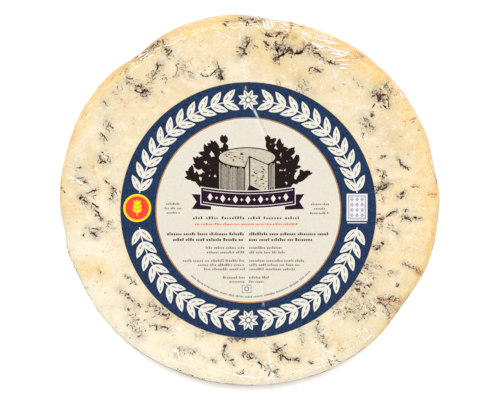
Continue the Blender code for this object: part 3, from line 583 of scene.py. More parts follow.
class Nodes:
    """A new node material, and short ways to make and link the nodes that the materials here share."""

    def __init__(self, name):
        self.material = bpy.data.materials.new(name)
        self.material.use_nodes = True
        self.tree = self.material.node_tree
        self.tree.nodes.clear()
        self.output = self.make("ShaderNodeOutputMaterial")

    def make(self, kind, **settings):
        node = self.tree.nodes.new(kind)
        for name, value in settings.items():
            setattr(node, name, value)
        return node

    def link(self, source, target):
        if isinstance(source, (int, float, tuple)):
            target.default_value = source
        else:
            self.tree.links.new(source, target)

    def position(self):
        return self.make("ShaderNodeTexCoord").outputs["Object"]

    def attribute(self, name):
        return self.make("ShaderNodeAttribute", attribute_name=name).outputs["Fac"]

    def noise(self, patch, detail=2.0, roughness=0.5, seed=0.0, stretch=None):
        """Noise with humps about a patch of this many millimetres across, around 0.5."""
        texture = self.make("ShaderNodeTexNoise", noise_dimensions="4D")
        place = self.position()
        if stretch:
            mapping = self.make("ShaderNodeMapping")
            mapping.inputs["Scale"].default_value = stretch
            self.link(place, mapping.inputs["Vector"])
            place = mapping.outputs["Vector"]
        self.link(place, texture.inputs["Vector"])
        settings = {"W": seed, "Scale": 1.0 / (patch * MM), "Detail": detail, "Roughness": roughness}
        for name, value in settings.items():
            texture.inputs[name].default_value = value
        return texture.outputs["Fac"]

    def maths(self, operation, *sources):
        node = self.make("ShaderNodeMath", operation=operation)
        for source, target in zip(sources, node.inputs):
            self.link(source, target)
        return node.outputs[0]

    def times(self, first, second):
        return self.maths("MULTIPLY", first, second)

    def plus(self, first, second):
        return self.maths("ADD", first, second)

    def ramp(self, value, low, high, to_low=0.0, to_high=1.0):
        """value from low to high, turned smoothly into to_low to to_high."""
        node = self.make("ShaderNodeMapRange", interpolation_type="SMOOTHSTEP")
        for source, target in zip((value, low, high, to_low, to_high), node.inputs):
            self.link(source, target)
        return node.outputs["Result"]

    def patchy(self, size, limits, reach=(0.0, 1.0), **more):
        """Noise of a size (patch, detail, roughness) whose part between the limits is ramped to a reach."""
        return self.ramp(self.noise(*size, **more), *limits, *reach)

    def mix(self, share, first, second, blend="MIX"):
        node = self.make("ShaderNodeMix", data_type="RGBA", blend_type=blend)
        for name, source in (("Factor", share), ("A", first), ("B", second)):
            self.link(source, node.inputs[name])
        return node.outputs["Result"]

    def lay(self, colour, tone, share):
        """A colour with a tone as the eye sees it laid over it, as strongly as the share says."""
        return self.mix(share, colour, seen(*tone))

    def grey(self, value):
        node = self.make("ShaderNodeCombineColor")
        for channel in node.inputs:
            self.link(value, channel)
        return node.outputs["Color"]

    def shade(self, colour, value):
        """A colour made brighter or darker by a factor."""
        return self.mix(1.0, colour, self.grey(value), "MULTIPLY")

    def cell_border(self, patch, bend):
        """How far a place is from the border between two cells, as a share of a cell about a patch across."""
        wave = self.make("ShaderNodeTexNoise")
        wave.inputs["Scale"].default_value = 1.0 / (0.8 * patch * MM)
        self.link(self.position(), wave.inputs["Vector"])
        centred = self.make("ShaderNodeVectorMath", operation="SUBTRACT")
        self.link(wave.outputs["Color"], centred.inputs[0])
        centred.inputs[1].default_value = (0.5, 0.5, 0.5)
        scaled = self.make("ShaderNodeVectorMath", operation="SCALE")
        self.link(centred.outputs["Vector"], scaled.inputs[0])
        scaled.inputs["Scale"].default_value = 2.0 * bend * MM
        bent = self.make("ShaderNodeVectorMath", operation="ADD")
        self.link(self.position(), bent.inputs[0])
        self.link(scaled.outputs["Vector"], bent.inputs[1])
        cells = self.make("ShaderNodeTexVoronoi", feature="DISTANCE_TO_EDGE")
        cells.inputs["Scale"].default_value = 1.0 / (patch * MM)
        self.link(bent.outputs["Vector"], cells.inputs["Vector"])
        return cells.outputs["Distance"]

    def bump(self, height, distance, target):
        """Links a bump of this many millimetres to a shader's normal."""
        node = self.make("ShaderNodeBump")
        node.inputs["Distance"].default_value = distance * MM
        self.link(height, node.inputs["Height"])
        self.link(node.outputs["Normal"], target.inputs["Normal"])

    def surface(self, colour, roughness, gloss=0.5):
        """The usual shader, linked to the output."""
        shader = self.make("ShaderNodeBsdfPrincipled")
        self.link(colour, shader.inputs["Base Color"])
        self.link(roughness, shader.inputs["Roughness"])
        shader.inputs["Specular IOR Level"].default_value = gloss
        self.link(shader.outputs["BSDF"], self.output.inputs["Surface"])
        return shader

    def blend(self, share, first, second):
        """One shader passing into another."""
        node = self.make("ShaderNodeMixShader")
        self.link(share, node.inputs["Fac"])
        self.link(first.outputs[0], node.inputs[1])
        self.link(second.outputs[0], node.inputs[2])
        return node


PALE_PASTE = (247, 234, 205)
WARM_PASTE = (243, 224, 187)
YELLOW_PASTE = (244, 220, 173)
LIGHT_PASTE = (255, 247, 224)
STAINED_PASTE = (251, 219, 148)
RIM_AMBER = (250, 206, 136)
RIND_LIGHT = (232, 200, 146)
RIND_DARK = (190, 148, 98)
RIND_PIT = (128, 98, 70)
RIND_BLOOM = (216, 208, 190)
CURD_LINE = (214, 172, 112)
# Painted shade: the dark edge of the lower side, laid as a crust
SHADE_CRUST = (104, 88, 72)
RUST_COLOUR = (226, 164, 92)
BLOOM_GREY = (164, 148, 132)
BLOOM_GREEN = (146, 148, 118)
SPECK_DARK = (44, 38, 37)
SPECK_BROWN = (104, 76, 54)
SPECK_GREEN = (60, 66, 46)


def paste_colour(n):
    """Cream paste with yellow and pale patches, stains, an amber rim, and painted light on the shoulder and
    along the lower rim, where the light falls away.
    """
    colour = n.mix(n.patchy((24, 3.0), (0.35, 0.65)), seen(*PALE_PASTE), seen(*WARM_PASTE))
    colour = n.lay(colour, YELLOW_PASTE, n.patchy((5, 4.0, 0.6), (0.4, 0.7), (0.0, 0.65)))
    # Paler paste, and painted light along the lower rim
    colour = n.lay(colour, LIGHT_PASTE, n.times(n.attribute("light"), 0.8))
    stain = n.times(n.attribute("stain"), n.patchy((8, 3.0), (0.3, 0.65), (0.34, 0.85)))
    colour = n.lay(colour, STAINED_PASTE, stain)
    colour = n.lay(colour, RIM_AMBER, n.times(n.attribute("rim"), 0.8))
    # Painted light on the shoulder band, and duller paste where the DULLER strokes lie
    colour = n.shade(colour, n.maths("MULTIPLY_ADD", n.attribute("shoulder_light_and_dull"), 0.09, 1.0))
    colour = n.lay(colour, LIGHT_PASTE, n.patchy((3.4, 3.0, 0.55), (0.54, 0.66), (0.0, 0.42), seed=9.0))
    return n.lay(colour, YELLOW_PASTE, n.patchy((3.0, 3.0, 0.6), (0.55, 0.68), (0.0, 0.4), seed=10.0))


def rind_colour(n):
    """Tan and brown rind with pits and pale bloom."""
    colour = n.lay(seen(*RIND_LIGHT), RIND_DARK, n.patchy((15, 6.0, 0.7), (0.36, 0.64), seed=3.0))
    colour = n.shade(colour, n.patchy((1.8, 4.0, 0.7), (0.25, 0.75), (0.78, 1.16), seed=4.0))
    colour = n.lay(colour, RIND_PIT, n.patchy((2.6, 3.0, 0.6), (0.6, 0.7), (0.0, 0.55), seed=5.0))
    return n.lay(colour, RIND_BLOOM, n.patchy((10, 4.0, 0.65), (0.52, 0.66), (0.0, 0.6), seed=6.0))


def cheese_material():
    """The paste and the rind, with a dark crust between them painted as shade on the lower half, grey bloom,
    and lines and specks of mould.
    """
    n = Nodes("cheese")
    rind_edge = n.maths("MULTIPLY_ADD", n.noise(9, 4.0, 0.6, seed=7.0), 1.1, -0.55)
    rind = n.ramp(n.plus(n.attribute("rind"), rind_edge), 0.2, 0.75)
    colour = n.mix(rind, paste_colour(n), rind_colour(n))
    # Painted shade of the lower side, laid as a dark crust where paste meets rind
    shade_crust = n.times(n.attribute("shade_crust"), n.patchy((3.5, 4.0, 0.65), (0.34, 0.56), (0.35, 0.9), seed=11.0))
    colour = n.lay(colour, SHADE_CRUST, shade_crust)
    curd = n.times(n.ramp(n.cell_border(9, 3), 0.0, 0.045, 0.3, 0.0), n.patchy((10, 2.0), (0.5, 0.68)))
    colour = n.lay(colour, CURD_LINE, curd)
    smears = n.patchy((8, 4.0, 0.6), (0.3, 0.7), (0.96, 1.03), seed=8.0, stretch=(1.0, 1.8, 1.0))
    colour = n.shade(colour, smears)
    colour = n.shade(colour, n.patchy((1.2, 3.0, 0.65), (0.25, 0.75), (0.94, 1.045)))
    rust = n.plus(n.attribute("rust"), n.times(n.noise(1.4, 3.0, 0.6), 1.3))
    colour = n.lay(colour, RUST_COLOUR, n.ramp(rust, 1.0, 1.55, 0.0, 0.4))
    green = n.attribute("green")
    bloom = n.times(n.attribute("bloom"), n.patchy((2.2, 4.0, 0.7), (0.36, 0.62), (0.12, 1.0)))
    bloom_tone = n.mix(green, seen(*BLOOM_GREY), seen(*BLOOM_GREEN))
    colour = n.mix(n.times(bloom, 0.52), colour, bloom_tone)
    threads = n.ramp(n.cell_border(2.6, 2.0), 0.02, 0.13, 0.5, 0.0)
    specks = n.patchy((1.5, 2.0, 0.6), (0.3, 0.7), (0.0, 0.75))
    stray = n.patchy((12, 2.0), (0.45, 0.7), (0.0, 0.08))
    mould = n.plus(n.plus(n.times(n.attribute("vein"), 0.8), threads), n.plus(specks, stray))
    dark = n.ramp(mould, 1.55, 1.8)
    colour = n.mix(n.ramp(mould, 1.2, 1.6, 0.0, 0.4), colour, bloom_tone)
    dark_tone = n.lay(seen(*SPECK_DARK), SPECK_BROWN, n.patchy((2.6, 2.0), (0.42, 0.58)))
    dark_tone = n.lay(dark_tone, SPECK_GREEN, n.times(green, 0.7))
    colour = n.mix(n.times(dark, 0.92), colour, dark_tone)
    shader = n.surface(colour, n.ramp(dark, 0.0, 1.0, 0.45, 0.75), 0.25)
    shader.inputs["Subsurface Weight"].default_value = 0.1
    shader.inputs["Subsurface Radius"].default_value = (1.0, 0.6, 0.3)
    shader.inputs["Subsurface Scale"].default_value = 1.0 * MM
    n.bump(n.maths("SUBTRACT", n.times(n.noise(2.2, 4.0, 0.6), 0.6), dark), 0.2, shader)
    return n.material


def random_strokes(count, width, height, draw):
    """Made-up mould for the sides that the photograph doesn't show, in the same form as VEINS, in pixels."""
    strokes = []
    for _ in range(count):
        x = draw.uniform(-width / 2, width / 2) / PIXEL + PHOTO_MIDDLE[0]
        y = PHOTO_MIDDLE[1] - draw.uniform(-height / 2, height / 2) / PIXEL
        bearing = draw.uniform(0.0, math.pi)
        length = draw.uniform(4.0, 22.0)
        strength = draw.uniform(0.7, 1.2)
        half_width = draw.uniform(3.0, 6.5)
        end = (x + length * math.cos(bearing), y + length * math.sin(bearing))
        strokes.append((x, y, *end, half_width, strength))
    return strokes


def hidden_strokes():
    """Made-up strokes of mould for the side and the underside, the same each time."""
    draw = random.Random(SEEDS["hidden"])
    side_strokes = random_strokes(SIDE_STROKES, TURN * MEAN_RADIUS, FACE, draw)
    under_strokes = random_strokes(UNDER_STROKES, 1.9 * MEAN_RADIUS, 1.9 * MEAN_RADIUS, draw)
    return side_strokes, under_strokes


def make_cheese():
    """The paste just inside the film, with mould, stains and pits in it."""
    shoulder_steps, side_steps, foot_steps, turns = 20, 34, 10, 640
    face_rings = [0.16, 0.36, 0.54, 0.65] + list(np.linspace(0.672, 1.0, 46))
    under_rings = list(np.linspace(1.0, 0.05, 24))[1:]
    anchors, ways, reach = skin(face_rings, shoulder_steps, side_steps, foot_steps, under_rings, turns)
    points = anchors + ways * (reach - FILM_TO_CHEESE)[..., None]
    rows = np.arange(points.shape[0])[:, None]
    side_start = len(face_rings) + shoulder_steps
    face_last, under_first = side_start - 4, side_start + side_steps + 5
    on_face = (rows < face_last) * np.ones(points.shape[:2])
    on_under = (rows >= under_first) * np.ones(points.shape[:2])
    flat_places = points[..., :2]
    angles = np.arctan2(points[..., 1], points[..., 0])
    unrolled = np.stack([angles * MEAN_RADIUS, points[..., 2] - FACE / 2], axis=-1)
    side_strokes, under_strokes = hidden_strokes()

    def everywhere(spread):
        face = stroke_strength(flat_places, VEINS, spread)
        side = stroke_strength(unrolled, side_strokes, spread) * 0.8
        under = stroke_strength(flat_places, under_strokes, spread)
        return face * on_face + under * on_under + side * (1 - on_face) * (1 - on_under)

    def between(low, high, fade, gone):
        """1 where the surface is between two depths below the face, in millimetres."""
        return smooth_step(below, low * MM, high * MM) * smooth_step(-below, -gone * MM, -fade * MM)

    vein = everywhere(1.5)
    below = FACE - points[..., 2]
    under_share = smooth_step(-points[..., 2], -4.0 * MM, -0.8 * MM)
    # Painted shade: on the lower half, away from the sun, the rind starts higher and a dark crust lies at the
    # edge, standing for the side's shade
    shaded_half = smooth_step(-np.sin(angles), -0.35, 0.1)
    ragged = below + 1.3 * MM * rumple(points, 5 * MM, 4.0) + 0.7 * MM * rumple(points, 1.8 * MM, 8.0)
    shade_side_rind = shaded_half * smooth_step(ragged, 5.2 * MM, 8.5 * MM)
    rind = np.maximum(smooth_step(below, 6 * MM, 26 * MM), shade_side_rind)
    rind *= 1.0 - under_share
    shade_crust = shaded_half * smooth_step(ragged, 5.0 * MM, 6.2 * MM) * smooth_step(-below, -20 * MM, -8.5 * MM)
    stain = stroke_strength(flat_places, STAINS, 1.8)
    rim = smooth_step(below, 0.3 * MM, 4 * MM) * np.maximum(stain, smooth_step(below, 6 * MM, 14 * MM))
    rim *= 1.0 - under_share
    # Painted light: the band from 0.6 to 16 mm below the face is brightened where it turns away from the
    # light above; the DULLER strokes darken the paste's own tone
    shoulder_light_and_dull = between(0.6, 5, 8, 16) - 0.7 * stroke_strength(flat_places, DULLER, 1.6) * on_face
    pit = smooth_step(vein + 0.5 * rumple(points, 1.8 * MM, 3.0), 0.55, 1.1)
    sunk = 0.28 * MM * pit + 0.10 * MM * np.abs(rumple(points, 7 * MM, 9.0)) * (1 - rind)
    rough = 0.35 * np.abs(rumple(points, 4 * MM, 2.0)) + 0.2 * np.abs(rumple(points, 1.8 * MM, 6.0))
    sunk += smooth_step(below, 9 * MM, 20 * MM) * rind * rough * MM
    points = points - ways * sunk[..., None]
    points[..., 2] = np.maximum(points[..., 2], CHEESE_FOOT)
    cheese = closed_mesh("cheese_body", points)
    grids = {
        "vein": vein, "bloom": everywhere(1.9), "stain": stain * on_face, "shoulder_light_and_dull": shoulder_light_and_dull, "shade_crust": shade_crust,
        "rind": rind, "rim": rim, "green": stroke_strength(flat_places, GREEN_MOULD, 1.3) * on_face,
        "rust": stroke_strength(flat_places, RUST, 1.5) * on_face,
        "light": stroke_strength(flat_places, PALER_AND_LIT, 1.5) * on_face,
    }
    for name, values in grids.items():
        store(cheese, name, values)
    cheese.data.materials.append(cheese_material())
    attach(cheese, "root")
    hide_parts("cheese_wheel")
    return cheese


MOULD_TONES = {
    "black": (30, 15, 13), "dark": (64, 44, 38), "brown": (112, 70, 52), "grey": (136, 130, 122),
    "green": (66, 74, 60), "rust": (206, 136, 72), "amber": (243, 196, 126), "crumb": (255, 252, 240),
}
TONE_NUMBERS = {name: number for number, name in enumerate(MOULD_TONES)}


def mould_material(name):
    """One tone of mould, powdery and uneven."""
    n = Nodes("mould_" + name)
    colour = n.shade(seen(*MOULD_TONES[name]), n.patchy((0.9, 3.0, 0.6), (0.25, 0.75), (0.6, 1.35)))
    n.bump(n.noise(0.6), 0.05, n.surface(colour, 0.85, 0.1))
    return n.material


class Slivers:
    """Thin closed slivers with pointed ends, half sunk in a body's skin."""

    def __init__(self, body, sunk, rise):
        self.tree = ray_tree(body.data)
        self.sunk = sunk
        self.rise = rise
        self.vertices = []
        self.faces = []
        self.tones = []

    def surface(self, side, u, v):
        """Where a place on the face, side or underside lies on the body, and the way out there."""
        if side == "face":
            start, way = Vector((u, v, FACE + 20 * MM)), Vector((0.0, 0.0, -1.0))
        elif side == "under":
            start, way = Vector((u, v, -20 * MM)), Vector((0.0, 0.0, 1.0))
        else:
            bearing = u / MEAN_RADIUS
            out = Vector((math.cos(bearing), math.sin(bearing), 0.0))
            start, way = out * 2 * MEAN_RADIUS + Vector((0.0, 0.0, v + FACE / 2)), -out
        return self.tree.ray_cast(start, way)[:2]

    def add(self, side, path, width, tone, ragged=None):
        """Lays one sliver along a path in pixels, with a draw where its edge is ragged."""
        hits = [self.surface(side, *spot(px, py)) for px, py in path]
        if any(place is None for place, _ in hits):
            return
        places = [place for place, _ in hits]
        from_label = math.hypot(places[0].x - LABEL_MIDDLE.x, places[0].y - LABEL_MIDDLE.y) - LABEL_RADIUS
        if side == "face" and from_label < -1.5 * MM:
            return
        if max((b - a).length for a, b in zip(places, places[1:])) > 4 * MM:
            return
        first = len(self.vertices)
        self.vertices.append(places[0] - hits[0][1] * self.sunk)
        for index in range(1, len(places) - 1):
            along = (places[index + 1] - places[index - 1]).normalized()
            taper = math.sin(math.pi * (index + 0.4) / len(places)) ** 0.5
            if ragged:
                taper = taper ** 0.5 * ragged.uniform(0.6, 1.25)
            across = along.cross(hits[index][1]).normalized() * width * taper * PIXEL / 2
            low = places[index] - hits[index][1] * self.sunk
            high = places[index] + hits[index][1] * self.rise
            self.vertices += [low + across, high, low - across]
        self.vertices.append(places[-1] - hits[-1][1] * self.sunk)
        last = len(self.vertices) - 1
        rings = len(places) - 2
        for corner in range(3):
            after = (corner + 1) % 3
            self.faces.append((first, first + 1 + after, first + 1 + corner))
            for ring in range(rings - 1):
                base = first + 1 + 3 * ring
                self.faces.append((base + corner, base + after, base + 3 + after, base + 3 + corner))
            base = first + 1 + 3 * (rings - 1)
            self.faces.append((base + corner, base + after, last))
        self.tones += [tone] * (3 * (rings + 1))

    def make(self, name, materials):
        """The slivers so far as one object."""
        above_floor = [(x, y, max(z, SLIVER_FOOT)) for x, y, z in self.vertices]
        piece = new_piece(name, above_floor, self.faces)
        for material in materials:
            piece.data.materials.append(material)
        piece.data.polygons.foreach_set("material_index", self.tones)
        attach(piece, "root")
        return piece

    def fill(self, side, strokes, draw, share, palette, longest=4.2, widths=(0.5, 1.5)):
        """Scatters slivers through strokes, more of them in the strong ones."""
        for stroke in strokes:
            start_x, start_y, end_x, end_y, half_width, strength = stroke
            length = math.hypot(end_x - start_x, end_y - start_y)
            area = (length + 2 * half_width) * 2 * half_width
            for _ in range(max(2, int(area * share * strength))):
                path = thread_path(draw, stroke, longest)
                tone = draw.choices(list(palette), palette.values())[0]
                self.add(side, path, draw.uniform(*widths), TONE_NUMBERS[tone])


def thread_path(draw, stroke, longest):
    """A short wandering line inside a stroke, as places in pixels."""
    start_x, start_y, end_x, end_y, half_width, strength = stroke
    share = draw.uniform(-0.05, 1.05)
    aside = max(-1.1, min(1.1, draw.gauss(0.0, 0.5))) * half_width
    heading = math.atan2(end_y - start_y, end_x - start_x)
    x = start_x + share * (end_x - start_x) - aside * math.sin(heading)
    y = start_y + share * (end_y - start_y) + aside * math.cos(heading)
    heading += draw.gauss(0.0, 0.7) if draw.random() < 0.75 else draw.uniform(0.0, math.pi)
    length = draw.uniform(0.9, longest) * (0.6 + 0.5 * strength)
    return walk(draw, x, y, heading, length, 4, 0.3, draw.gauss(0.0, 0.8))


def core_path(points, draw):
    """A thick stroke's line with places closer together and a little unsteady."""
    corners = list(zip(points[::2], points[1::2]))
    path = [corners[0]]
    for start, end in zip(corners, corners[1:]):
        steps = max(2, round(math.hypot(end[0] - start[0], end[1] - start[1]) / 0.9))
        path += unsteady(draw, start, end, 1, steps, 0.22)
    return path


def lay_cores(slivers, draw):
    """The thick strokes, each with thin threads running out of it and near-white bits beside it."""
    fringe = {
        "black": "dark", "dark": "brown", "brown": "rust", "grey": "grey", "green": "grey", "rust": "rust",
    }
    for tone, width, *points in CORES:
        path = core_path(points, draw)
        slivers.add("face", path, 1.12 * width, TONE_NUMBERS[tone], draw)
        for _ in range(1 + int(len(path) / 4)):
            x, y = draw.choice(path)
            heading = draw.uniform(0.0, TURN)
            length = draw.uniform(0.9, 1.2 + 0.75 * width)
            thread = walk(draw, x, y, heading, length, 3, 0.5)
            chosen = tone if draw.random() < 0.45 else fringe[tone]
            slivers.add("face", thread, draw.uniform(0.8, 1.5), TONE_NUMBERS[chosen])
        if draw.random() < 0.5:
            x, y = draw.choice(path)
            x += draw.choice((-1.0, 1.0)) * draw.uniform(0.8, 1.3) * width
            y += draw.choice((-1.0, 1.0)) * draw.uniform(0.6, 1.2) * width
            crumb = [(x, y), (x + 0.7, y + draw.uniform(-0.5, 0.5))]
            crumb.append((x + draw.uniform(1.4, 2.6), y + draw.uniform(-1, 1)))
            slivers.add("face", crumb, draw.uniform(1.0, 1.8), TONE_NUMBERS["crumb"])


def lay_marks(slivers, draw):
    """Short fine marks all over the paste, leaning alike where they are near each other."""
    shares = {"amber": 0.46, "crumb": 0.32, "rust": 0.08, "grey": 0.14}
    for _ in range(FACE_MARKS):
        x, y = pixel_at(draw.uniform(0.0, TURN), draw.uniform(131.0, 187.0))
        heading = 2.5 * noise.noise(Vector((x / 38.0, y / 38.0, 4.0))) + draw.gauss(0.3, 0.35)
        mark = walk(draw, x, y, heading, draw.uniform(1.6, 6.0), 3, 0.25)
        tone = draw.choices(list(shares), shares.values())[0]
        slivers.add("face", mark, draw.uniform(0.6, 1.25), TONE_NUMBERS[tone])


def make_mould(body):
    """The blue and brown mould in the paste: crumbs, threads and the thick cores of the strongest veins."""
    slivers = Slivers(body, 0.06 * MM, 0.10 * MM)
    draw = random.Random(SEEDS["mould"])
    usual = {"dark": 0.38, "brown": 0.30, "grey": 0.20, "green": 0.06, "rust": 0.06}
    faint = {"grey": 0.66, "brown": 0.16, "dark": 0.08, "green": 0.10}
    core = {"dark": 0.62, "brown": 0.34, "grey": 0.04}
    greenish = {"green": 0.5, "dark": 0.12, "grey": 0.38}
    strong = [
        (*ends, 0.6 * half_width, strength) for *ends, half_width, strength in VEINS if strength >= 0.95
    ]
    weak = [stroke for stroke in VEINS if stroke[5] < 0.85]
    plain = [stroke for stroke in VEINS if stroke[5] >= 0.85]
    lay_cores(slivers, draw)
    slivers.fill("face", plain, draw, 0.04, usual, 3.6, (0.5, 1.2))
    slivers.fill("face", weak, draw, 0.07, faint, 5.0, (0.5, 1.3))
    slivers.fill("face", strong, draw, 0.012, core, 4.0, (1.2, 2.2))
    slivers.fill("face", GREEN_MOULD, draw, 0.02, greenish, 4.5)
    # An amber line just below each crease at the upper right: amber paste, and painted shade beside the
    # crease's white
    for start_x, start_y, end_x, end_y, width in CREASE_GLINTS:
        if start_x > 262 and start_y < 200:
            aside = 1.0 + 0.5 * width
            path = core_path((start_x + 1, start_y + aside, end_x + 1, end_y + aside), draw)
            slivers.add("face", path, 1.5, TONE_NUMBERS["amber"], draw)
    slivers.fill("face", RUST, draw, 0.05, {"rust": 1.0}, 6.0, (0.4, 0.9))
    lay_marks(slivers, draw)
    for side, strokes in zip(("side", "under"), hidden_strokes()):
        slivers.fill(side, strokes, draw, 0.05, usual)
        slivers.fill(side, strokes, draw, 0.02, core, 6.0, (1.6, 3.0))
    mould = slivers.make("mould_threads", [mould_material(name) for name in MOULD_TONES])


def film_material():
    """Clear plastic film: it hardly shows but for its gloss, and turns white along its seam and in small
    flecks, as hazy film and as painted glints of its wrinkles.
    """
    n = Nodes("clear_film")
    gloss = n.make("ShaderNodeBsdfGlossy")
    gloss.inputs["Roughness"].default_value = 0.12
    n.bump(n.noise(3.0, 3.0, 0.6), 0.04, gloss)
    edge_on = n.maths("POWER", n.make("ShaderNodeLayerWeight").outputs["Facing"], 5.0)
    loose = n.patchy((5.5, 3.0, 0.6), (0.42, 0.6), (0.25, 1.3), seed=2.0)
    mirror = n.times(n.maths("MULTIPLY_ADD", edge_on, 0.5, 0.022), loose)
    sheet = n.blend(mirror, n.make("ShaderNodeBsdfTransparent"), gloss)
    # White painted along the seam, as hazy film and as its glints, and in small flecks as painted glints of
    # fine wrinkles
    white = n.make("ShaderNodeBsdfDiffuse")
    white.inputs["Color"].default_value = linear(250, 250, 248)
    broken = n.patchy((1.3, 3.0, 0.65), (0.38, 0.6), (0.25, 1.0))
    glint_flecks = n.patchy((2.0, 4.0, 0.7), (0.66, 0.71), (0.0, 0.55), seed=3.0, stretch=(1.0, 1.5, 1.0))
    share = n.maths("MULTIPLY_ADD", n.attribute("seam_haze_and_glint"), broken, glint_flecks)
    n.link(n.blend(share, sheet, white).outputs["Shader"], n.output.inputs["Surface"])
    return n.material


def seam_strokes(half_width):
    return [(*a, *b, half_width, 1.0) for a, b in zip(SEAM, SEAM[1:])]


def refine(piece, strokes, margin, cuts):
    """Splits the edges of the face near the strokes, so that thin creases have points enough."""
    build = bmesh.new()
    build.from_mesh(piece.data)
    edges = list(build.edges)
    middles = np.array([(edge.verts[0].co + edge.verts[1].co)[:] for edge in edges]) / 2
    wide = [(*stroke[:4], stroke[4] + margin, 1.0) for stroke in strokes]
    near = stroke_strength(middles[:, :2], wide) > 0.0
    high = middles[:, 2] > FACE - 9 * MM
    chosen = [edge for edge, use in zip(edges, near & high) if use]
    bmesh.ops.subdivide_edges(build, edges=chosen, cuts=cuts, use_grid_fill=True)
    build.to_mesh(piece.data)
    build.free()


def wandering(places, patch, reach, seed):
    """The same places moved a little by smooth noise, so that drawn strokes lose their ruled look."""
    moved = places[..., :2].copy()
    moved[..., 0] += reach * rumple(places, patch, seed)
    moved[..., 1] += reach * rumple(places, patch, seed + 7.0)
    return moved


def make_film():
    """The film: one closed skin over the whole wheel, with a seam across the face and folds down the side."""
    face_rings = [0.25, 0.5, 0.64] + list(np.linspace(0.68, 1.0, 34))
    under_rings = list(np.linspace(1.0, 0.05, 9))[1:]
    anchors, ways, reach = skin(
        face_rings, shoulder_steps=14, side_steps=12, foot_steps=5, under_rings=under_rings, turns=560
    )
    film = closed_mesh("clear_film", anchors + ways * reach[..., None])
    refine(film, seam_strokes(2.5), 2.0, 2)
    places = np.array([v.co[:] for v in film.data.vertices])
    outward = np.array([v.normal[:] for v in film.data.vertices])
    level = outward[:, 2] > 0.2
    label_gap = np.hypot(places[:, 0] - LABEL_MIDDLE.x, places[:, 1] - LABEL_MIDDLE.y) - LABEL_RADIUS
    bare = smooth_step(label_gap, 0.0, 2.5 * MM)
    drawn = wandering(places, 2.2 * MM, 0.55 * MM, 21.0)
    broken = 0.35 + 0.9 * smooth_step(rumple(places, 1.7 * MM, 33.0), -0.25, 0.2)
    seam = stroke_strength(drawn, seam_strokes(1.2), 1.3) * 0.3 * MM * level * broken
    seam *= 0.15 + 0.85 * bare
    angles = np.arctan2(places[:, 1], places[:, 0])
    around = 42.0 * MM
    upright = [np.cos(angles) * around, np.sin(angles) * around, 0.16 * places[:, 2]]
    folds = 0.5 * MM * np.maximum(0.0, rumple(np.stack(upright, axis=-1), 3.2 * MM, 8.0)) ** 1.6
    on_side = smooth_step(FACE - places[:, 2], 0.8 * MM, 14 * MM) * (places[:, 2] > 0.5 * MM)
    waves = 0.06 * MM * rumple(places, 9 * MM, 1.0) * bare * level
    places += outward * (seam + waves + folds * on_side)[:, None]
    places[:, 2] = np.maximum(places[:, 2], FILM_FOOT)
    film.data.vertices.foreach_set("co", places.ravel())
    # The seam's white: hazy film and painted glint
    keep(film.data, "seam_haze_and_glint", np.clip(0.9 * seam / MM * bare, 0.0, 1.0))
    film.data.materials.append(film_material())
    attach(film, "root")
    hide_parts("cheese_wheel")
    return film


def rim_crease_glints():
    """Short whitened creases along the rim, painted glints most of them at the top and the bottom of the
    picture, in the same form as the named creases.
    """
    draw = random.Random(SEEDS["rim"])
    creases = []
    for _ in range(RIM_FOLDS):
        bearing = draw.choice((90.0, 270.0)) + draw.gauss(0.0, 38.0)
        x, y = pixel_at(math.radians(bearing), draw.uniform(172.0, 189.0))
        turn = math.radians(-bearing + 90.0 + draw.gauss(0.0, 30.0))
        length = draw.uniform(1.0, 6.0)
        end_x, end_y = x + length * math.cos(turn), y + length * math.sin(turn)
        creases.append((x, y, end_x, end_y, draw.uniform(0.35, 0.8)))
    return creases


def crease_glint_material():
    """Film pressed to a sharp fold: whitened, glossy and still a little see-through; the white also stands
    for the fold's glint, as a painted highlight.
    """
    n = Nodes("film_crease_glint")
    shader = n.surface(n.grey(n.patchy((1.5, 2.0), (0.3, 0.7), (0.92, 1.0))), 0.2)
    n.link(n.patchy((2.0, 3.0, 0.6), (0.35, 0.6), (0.75, 1.0)), shader.inputs["Alpha"])
    return n.material


def fold_path(draw, x, y, length, heading):
    """A long, slightly bent fold from a place in pixels."""
    return walk(draw, x, y, heading, length, max(4, int(length / 2.5)), 0.07)


def make_crease_glints(film):
    """Sharp folds standing on the film, long ones in the places named and short ones along the rim, white as
    painted glints.
    """
    slivers = Slivers(film, 0.03 * MM, 0.08 * MM)
    draw = random.Random(SEEDS["folds"])
    for start_x, start_y, end_x, end_y, width in list(CREASE_GLINTS) + rim_crease_glints():
        length = math.hypot(end_x - start_x, end_y - start_y)
        steps = max(4, int(length / 1.8))
        path = unsteady(draw, (start_x, start_y), (end_x, end_y), 0, steps, 0.10 * length ** 0.5)
        slivers.add("face", path, 1.25 * width, 0)
    around = TURN * MEAN_RADIUS / PIXEL
    tall = FACE / PIXEL
    for _ in range(SIDE_FOLDS):
        x = PHOTO_MIDDLE[0] + draw.uniform(-around / 2, around / 2)
        y = PHOTO_MIDDLE[1] + draw.uniform(-0.42, 0.3) * tall
        length = draw.uniform(0.06, 0.5) * tall * draw.uniform(0.4, 1.0)
        path = fold_path(draw, x, y, length, math.pi / 2 + draw.gauss(0.0, 0.16))
        slivers.add("side", path, draw.uniform(0.25, 0.55), 0)
    for _ in range(UNDER_FOLDS):
        bearing = draw.uniform(0.0, TURN)
        x, y = pixel_at(bearing, draw.triangular(0.04, 0.95, 0.15) * MEAN_RADIUS / PIXEL)
        path = fold_path(draw, x, y, draw.uniform(8.0, 45.0), -bearing + draw.gauss(0.0, 0.12))
        slivers.add("under", path, draw.uniform(0.4, 0.8), 0)
    slivers.make("film_crease_glints", [crease_glint_material()])


